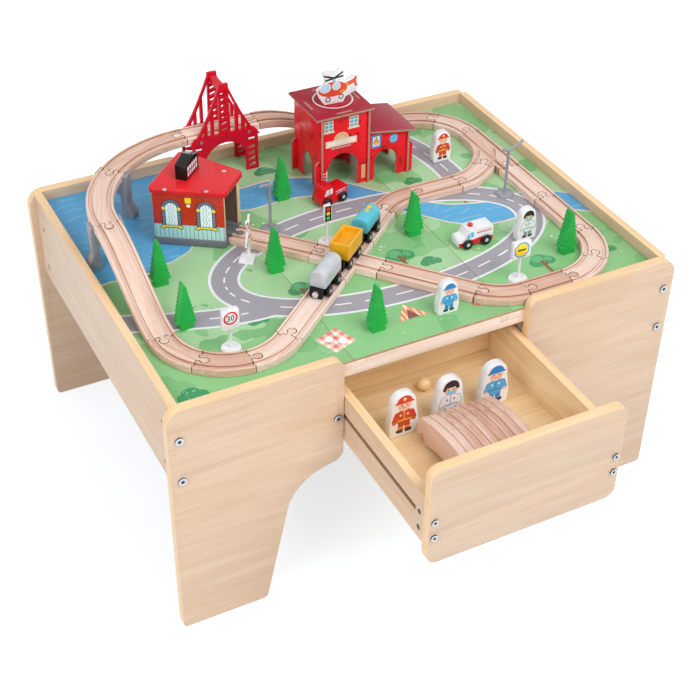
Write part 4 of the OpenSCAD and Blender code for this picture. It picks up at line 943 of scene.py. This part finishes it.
def stop_plate(art):
    c = SIGN_TOP - 14.5
    return [("#3CA3D6", art.octagon(0, c, 12.6)), ("#F7DF1C", art.octagon(0, c, 10.4)),
            ("#3B3426", art.rect(-6.8, c - 1.5, 6.8, c + 1.5))]


def light_head(art):
    return [("#141416", art.rect(-5.2, 41.0, 5.2, 67.0)), ("#F0362C", art.disc(0, 61.8, 3.1)),
            ("#F8DC3C", art.disc(0, 54, 3.1)), ("#58D26A", art.disc(0, 46.2, 3.1))]


def cross_arms(art):
    reach = abs(art.v - 45.0)
    return [("#D8222C", reach.within(9.0, 2.6) | reach.within(18.0, 2.6))]


def dress_signs():
    """From left to right: the zone sign, the level-crossing sign, the traffic light, the stop sign."""
    places = middles("road_signs")
    drawings = (zone_plate, cross_arms, light_head, stop_plate)
    turns = np.radians([0.0, CROSS_TURN, 0.0, 0.0])
    prints = [printed(drawing.__name__, "#F3F3F5", drawing, (*place, BOARD_Z), float(turn))
              for place, drawing, turn in zip(places, drawings, turns)]

    def choose(normal, centre):
        sign = nearest(centre, places)
        front = inward(normal, turns[sign]) < -FRONTAL
        return np.where(front & (centre[:, 2] > BOARD_Z + SIGN_FOOT), sign + 1, 0)

    rounded("road_signs", 0.5, [white_paint, *prints], choose)


def helicopter_print(art):
    body = art.oval(-1, 24.5, 24, 12.5)
    rotor = reduce(or_, [art.bar((1, 43), tip, 1.5) for tip in ROTOR])
    return [
        ("#E4502F", body | art.bar((16, 27), (35, 33), 3.4)),
        ("#E4502F", art.bar((35, 33), (40, 43), 2.4) | art.bar((35, 33), (38, 25), 2.0)),
        ("#F6F6F6", art.disc(5, 29, 7.0) | (body & art.oval(-13.5, 28, 9.6, 8.0))),
        ("#BFE0F2", art.disc(5, 29, 6.0) | (body & art.oval(-13.5, 28, 8.6, 7.0))),
        ("#F3C63B", art.disc(13, 18.5, 1.5) | art.disc(17, 19.5, 1.5) | art.disc(23, 29, 1.6)),
        ("#9CC7DF", art.rect(-1.6, 37, 3.6, 42)),
        ("#232326", rotor),
        ("#45474D", art.ring(-9, 8, 3.6, 1.7) | art.ring(13, 10, 3.6, 1.7)),
    ]


dress_signs()
heli_spot = (HELI_AT[0], TABLE_Y + HELI_AT[1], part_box("helicopter")[0].z)
heli_print = printed("helicopter_print", "#F4F4F4", helicopter_print, heli_spot, HELI_TURN)
rounded("helicopter", 0.8, [white_paint, heli_print],
        lambda normal, centre: normal[:, 1] < -SQUARE)
tally("signs and helicopter")

# %% [markdown]
# ## The fire station
#
# The station is built from thin boards with a lacquered print: red with smudged bricks, two
# windows, a blank name board, a poster frame and a round window. Their sawn edges stay brown.

# %% The station's boards
station_edge = foil_wood("station_edge", X, "#B79B8B", "#A88A7A", "#8F7264", 1.5, 6, 0.7)
ARCHES = ((61.7, 52, 62), (138.4, 40, 50))
WINDOW_W, WINDOW_H, WINDOW_FRAME = 16, 19, 1.6
SIGNBOARD = (
    ("#F5ECDD", 32, 77, 86, 88), ("#D9C2B4", 33.4, 78.4, 84.6, 86.6), ("#F5ECDD", 34.2, 79.2, 83.8, 85.8),
    ("#CDA5A0", 42, 72.4, 76, 75.4),
)
POSTER = (("#3D9BD0", 112.5, 57, 129.5, 80), ("#EAF1F2", 115, 60, 127, 77))
DOOR = (("#EBB878", 95.5, 8, 102.5, 33), ("#7E2026", 94.5, 33, 103.5, 36))


def brick_wall(art):
    """Red bricks that hardly differ, with darker smudges here and there."""
    wall = art.bricks(9.0, 4.6, 0.3, "#F7252F", "#F0202B", "#E01B28")
    return layered(art.ink, wall, [("#A8131F", (art.cloud(16.0) > 0.62) & (art.cloud(5.0) > 0.5))])


def house_window(art, u, v):
    """A window with its sill; u and v are its lower left corner."""
    right, top = u + WINDOW_W, v + WINDOW_H
    pane = art.rect(u + WINDOW_FRAME, v + WINDOW_FRAME, right - WINDOW_FRAME, top - WINDOW_FRAME)
    bars = art.u.within(u + WINDOW_W / 2, 0.8)
    for third in (1, 2):
        bars = bars | art.v.within(v + third * WINDOW_H / 3, 0.8)
    return [("#F0D9B8", art.rect(u, v, right, top) | art.rect(u - 2, v - 2.4, right + 2, v)),
            ("#4BB3DA", pane & (1 - bars))]


def station_front_print(art):
    drawn = []
    for middle, wide, high in ARCHES:
        spring = high - wide / 2
        drawn.append(("#B01B26", art.ring(middle, spring, wide / 2 + 2.6, 0.9) & (art.v > spring)))
    drawn += house_window(art, 29, 104.5) + house_window(art, 72.5, 104.5)
    drawn += [("#F0C79A", art.disc(59, 87, 13) & (art.v > 87)),
              ("#E29B74", art.ring(59, 87, 9.4, 1.4) & (art.v > 87))]
    drawn += [(code, art.rect(*box)) for code, *box in SIGNBOARD + POSTER + DOOR]
    rung = art.v.stripes(5.2, 0.26) & art.rect(26.4, 3, 34.6, 36)
    rail = art.rect(26.4, 3, 27.8, 36) | art.rect(33.2, 3, 34.6, 36)
    cross = art.u.within(152.5, 0.7) | art.v.within(66.5, 0.7)
    return drawn + [
        ("#E98A3A", art.disc(121, 67, 4.6) | art.bar((121, 69), (121, 75), 1.6)),
        ("#F6D34B", art.disc(121, 66, 2.4)),
        ("#3D9BD0", art.disc(152.5, 66.5, 7.8)),
        ("#8CCDEA", art.disc(152.5, 66.5, 6.0) & (1 - cross)),
        ("#F4F4F2", rung | rail),
    ]


def roof_print(art):
    return [("#F2EDEC", art.ring(68, 166, 31, 2.2))]


LACQUER = {"roughness": 0.3, "shine": 0.15, "Coat_Weight": 0.1, "Coat_Roughness": 0.12}
HERE = (0, TABLE_Y, BOARD_Z)
front_red = printed("station_front_print", brick_wall, station_front_print, HERE, **LACQUER)
plain_red = printed("station_wall_print", brick_wall, lambda art: [], HERE, **LACQUER)
side_red = printed("station_side_print", brick_wall, lambda art: [], HERE, math.radians(90), **LACQUER)
SATIN = {**LACQUER, "shine": 0.06}
roof_dark = printed("station_roof_print", "#A72638", roof_print, (0, TABLE_Y, 0), flat=True, **SATIN)


def front_back_edge(normal, centre):
    """The printed front, the sawn edges and the plain back."""
    return np.where(np.abs(normal[:, 1]) < SQUARE, 1, np.where(normal[:, 1] < 0, 0, 2))


rounded("station_front", 0.4, [front_red, station_edge, plain_red], front_back_edge)
rounded("station_back", 0.4, [plain_red, station_edge], faces_along(Y))
rounded("station_cross_walls", 0.4, [side_red, station_edge], faces_along(X))
rounded("station_roofs", 0.5, [roof_dark, station_edge], faces_along(Z))
tally("station")

# %% [markdown]
# ## The engine shed
#
# The two slanting walls carry one print, each on its outer face: bricks above, boards below, two
# arched windows and a lamp between them. The sheet of art paper turns with each wall.

# %% The shed
def shed_bricks(art):
    return art.bricks(8.0, 3.6, 0.4, "#D4360F", "#C82C0A", "#AC280B")


BOARDING_V, ARCH_V = 24.0, 52.0


def arch(art, c, r, foot):
    """An upright shape with a round top, r wide to each side of c."""
    return art.rect(c - r, foot, c + r, ARCH_V) | (art.disc(c, ARCH_V, r) & (art.v > ARCH_V))


def sill(art, c, rise, thick, knob):
    """A bar between two knobs."""
    knobs = art.disc(c - 13.4, 19, knob) | art.disc(c + 13.4, 19, knob)
    return art.bar((c - 12, rise), (c + 12, rise), thick) | knobs


def shed_print(art):
    u, v = art.u, art.v
    boarding = v < BOARDING_V
    drawn = [("#BCE4E0", boarding), ("#4E8C8B", boarding & u.stripes(6.4, 0.13)),
             ("#4A6E70", v.within(BOARDING_V, 0.4)), ("#FFE522", art.rect(-4.5, 62, 4.5, 71)),
             ("#F2F2F0", art.disc(0.4, 57.6, 2.9))]
    for c in (-26.0, 26.0):
        stone, pane = arch(art, c, 13.6, 21), arch(art, c, 8.7, 21)
        course = v.stripes(5.0, 0.16) & (v < ARCH_V)
        wedge = (u * 0.33 + v * 0.1).stripes(1.0, 0.3) & (v > ARCH_V)
        streak = (u - c + v.wave(11.0) * 1.1).stripes(4.4, 0.24) & u.within(c, 5.2)
        keys = art.disc(c - 11.6, 51, 2.7) | art.disc(c + 11.6, 51, 2.7)
        drawn += [("#22262E", arch(art, c, 14.9, 20)), ("#77869A", stone),
                  ("#3B424E", stone & (course | wedge)), ("#22262E", arch(art, c, 9.8, 21)),
                  ("#EEF7F8", pane), ("#7FCBD2", pane & streak),
                  ("#33280F", sill(art, c, 20.2, 2.6, 3.7)),
                  ("#FFDA48", sill(art, c, 20.4, 1.5, 2.6) | keys)]
    return drawn


def dress_shed_walls():
    mesh = welded("shed_walls")
    _, middle, heading, _ = piece_frames(mesh)
    bpy.data.meshes.remove(mesh)
    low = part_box("shed_walls")[0].z
    hall = middle.mean(0)
    prints = [printed("shed_wall_print", shed_bricks, shed_print, (x, y, low), turn, roughness=0.34)
              for (x, y), turn in zip(middle[:, :2].tolist(), heading.tolist())]
    inside = foil_wood("shed_inside", Z, "#8B7362", "#7D6655", "#665142", 6, 60, 0.6)
    sawn = foil_wood("shed_sawn_edge", Z, "#EBD3AC", "#E2C698", "#D3B27E", 3, 40, 0.6)

    def choose(normal, centre):
        wall = nearest(centre, middle[:, :2])
        out = np.sum(normal[:, :2] * (middle[wall, :2] - hall[:2]), 1)
        broad = np.abs(inward(normal, heading[wall])) > SQUARE
        return np.where(broad, np.where(out > 0, wall, 2), 3)

    rounded("shed_walls", 0.5, [*prints, inside, sawn], choose)


VENT_TURN = math.atan2(0.697, 0.717)
PANE_PITCH, PANE_W, PANE_H = 7.2, 5, 7


def vent_print(art):
    corners = [(PANE_PITCH * column - 17, row) for row in (4, 13) for column in range(5)]
    return [("#F6FAFF", reduce(or_, [art.rect(u, v, u + PANE_W, v + PANE_H) for u, v in corners]))]


dress_shed_walls()
shed_red = coated("shed_roof_paint", "#E5222A", 0.3, speck=30, shine=0.3)
base_grey = coated("shed_base_plastic", "#72757D", 0.45)
rounded("shed_roof", 2.5, [shed_red], segments=4)
rounded("shed_base", 1.0, [base_grey])
vent_low, vent_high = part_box("shed_vent")
vent_spot = (vent_low + vent_high) / 2
vent_spot.z = vent_low.z
vent_panes = printed("vent_print", "#09090B", vent_print, vent_spot, VENT_TURN,
                     roughness=0.22, shine=0.35)
rounded("shed_vent", 1.0, [gloss_black, vent_panes],
        lambda normal, centre: inward(normal, VENT_TURN) < -FRONTAL, 3)
tally("shed")

# %% [markdown]
# ## Wagons and road vehicles
#
# The bodies are turned and milled blocks with a satin paint. Two knobs on the blue tank and the
# beacon of the ambulance have their own colour, and small steel pins close the wheels' axles.

# %% Bodies
silver = coated("silver_paint", "#CED1D8", 0.33, speck=16)
yellow = coated("yellow_paint", "#F7B41C", 0.36, speck=16)
turquoise = coated("turquoise_paint", "#5CC6DB", 0.34, speck=16)
knob_yellow = coated("knob_yellow_paint", "#F2CF2E", 0.3)
rounded("grey_tank", 1.2, [silver], segments=3)
rounded("yellow_hopper", 1.0, [yellow], segments=3)
KNOB_H = 1.5 * MM
tank_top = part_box("blue_tank")[1].z - KNOB_H
rounded("blue_tank", 1.0, [turquoise, knob_yellow],
        lambda normal, centre: centre[:, 2] > tank_top, 3)


def truck_print(art):
    windows = (art.rect(-20, 21, -11, 31) & (art.v - art.u * 2.2 < 67.0)) | art.rect(-9, 21, -4, 31)
    lines = art.rect(3, 20.6, 24, 21.8) | art.rect(3, 16.8, 24, 17.6) | art.rect(12, 17.6, 13.2, 20.6)
    return [("#F1F2F4", windows | lines), ("#C9DEE8", art.rect(-18, 22.5, -12.4, 27))]


def ambulance_print(art):
    lines = art.rect(0, 22.6, 26, 24.4) | art.rect(0, 26.4, 26, 27.0)
    sweep = (art.v - art.u.wave(60.0, 0.6) * 1.6 < 13.5) & (art.v > 4.0)
    panes = (art.rect(-18, 18, -5, 27) & (art.v - art.u * 1.6 < 48.0)) & (1 - art.u.within(-11, 0.7))
    return [("#D8232E", sweep | lines), ("#5CC0E0", panes)]


CARS = (
    ("fire_truck", (0.0245, 0.088), math.radians(16), "#DE121E", truck_print, "red_paint", None),
    ("ambulance", (0.165, -0.111), 0.0, "#F2F2F4", ambulance_print, "white_printed_wood", 0.0323),
)


def dress_car(node, place, heading, base, drawing, slot, beacon):
    """Prints on both flanks, and a beacon above a height where there is one."""
    origin = (place[0], TABLE_Y + place[1], BOARD_Z)
    gloss = {"roughness": 0.28, "shine": 0.35}
    side = printed(node + "_print", base, drawing, origin, heading, **gloss)
    paint = coated(node + "_paint", base, speck=20, **gloss)
    lamp = coated(node + "_beacon", "#E02A2E", 0.2)

    def choose(normal, centre):
        flank = np.abs(inward(normal, heading)) > FRONTAL
        return flank if beacon is None else np.where(centre[:, 2] > BOARD_Z + beacon, 2, flank)

    rounded(node, 1.6, [paint, side, lamp], choose, 3)


for car in CARS:
    dress_car(*car)
tally("wagons and cars")

# %% Wheels and their pins
def domes(name, body, places, axis, radius, height, made):
    """Low round heads: a quarter circle turned about the axis, outwards at each place."""
    ring, rise = 20, 5
    turn = np.linspace(0, 2 * math.pi, ring, endpoint=False)
    climb = np.linspace(0, math.pi / 2, rise)
    t, c = np.meshgrid(turn, climb)
    wide = np.cos(c) * radius
    flat = np.stack([wide * np.cos(t), wide * np.sin(t), np.sin(c) * height], -1).reshape(-1, 3)
    k = np.arange((rise - 1) * ring)
    side = k // ring * ring + (k + 1) % ring
    quads = np.stack([k, side, side + ring, k + ring], 1)
    spots, faces = [], []
    for place, way in places:
        turned = np.array(Vector((0, 0, 1)).rotation_difference(Vector(axis) * way).to_matrix())
        faces.append(quads + len(spots) * len(flat))
        spots.append(flat @ turned.T + np.array(place))
    mesh = bpy.data.meshes.new(name)
    mesh.from_pydata(np.concatenate(spots).tolist(), [], np.concatenate(faces).tolist())
    mesh.validate()
    mesh.shade_smooth()
    mesh.materials.append(made)
    piece = link(bpy.data.objects.new(name, mesh))
    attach(piece, body)


PIN_R, PIN_H = 3.0 * MM, 0.7 * MM
for node in [name for name in nodes if name.endswith("_wheels")]:
    dress(node, tyre_black)
    body = nodes[node]["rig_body"]
    joint = next(j for j in frame["joints"] if j["child"] == body)
    axis, middle = Vector(joint["axis"]), Vector(joint["pos_m"])
    spot = array_of(nodes[node].data.vertices, "co", 3)
    reach = float(np.abs((spot - np.array(middle)) @ np.array(axis)).max())
    ends = [(middle + axis * reach * way, way) for way in (-1, 1)]
    domes(body + "_pins", body, ends, axis, PIN_R, PIN_H, nickel)

SCREWS = ((-248, 79), (-196, 48), (-150, 90), (-203, 124))
SCREW_R, SCREW_H = 3.4 * MM, 0.8 * MM
roof_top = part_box("shed_roof")[1].z
screw_spots = [((x * MM, TABLE_Y + y * MM, roof_top), 1) for x, y in SCREWS]
domes("shed_roof_screws", "table", screw_spots, (0, 0, 1), SCREW_R, SCREW_H, steel)
print("toys dressed")
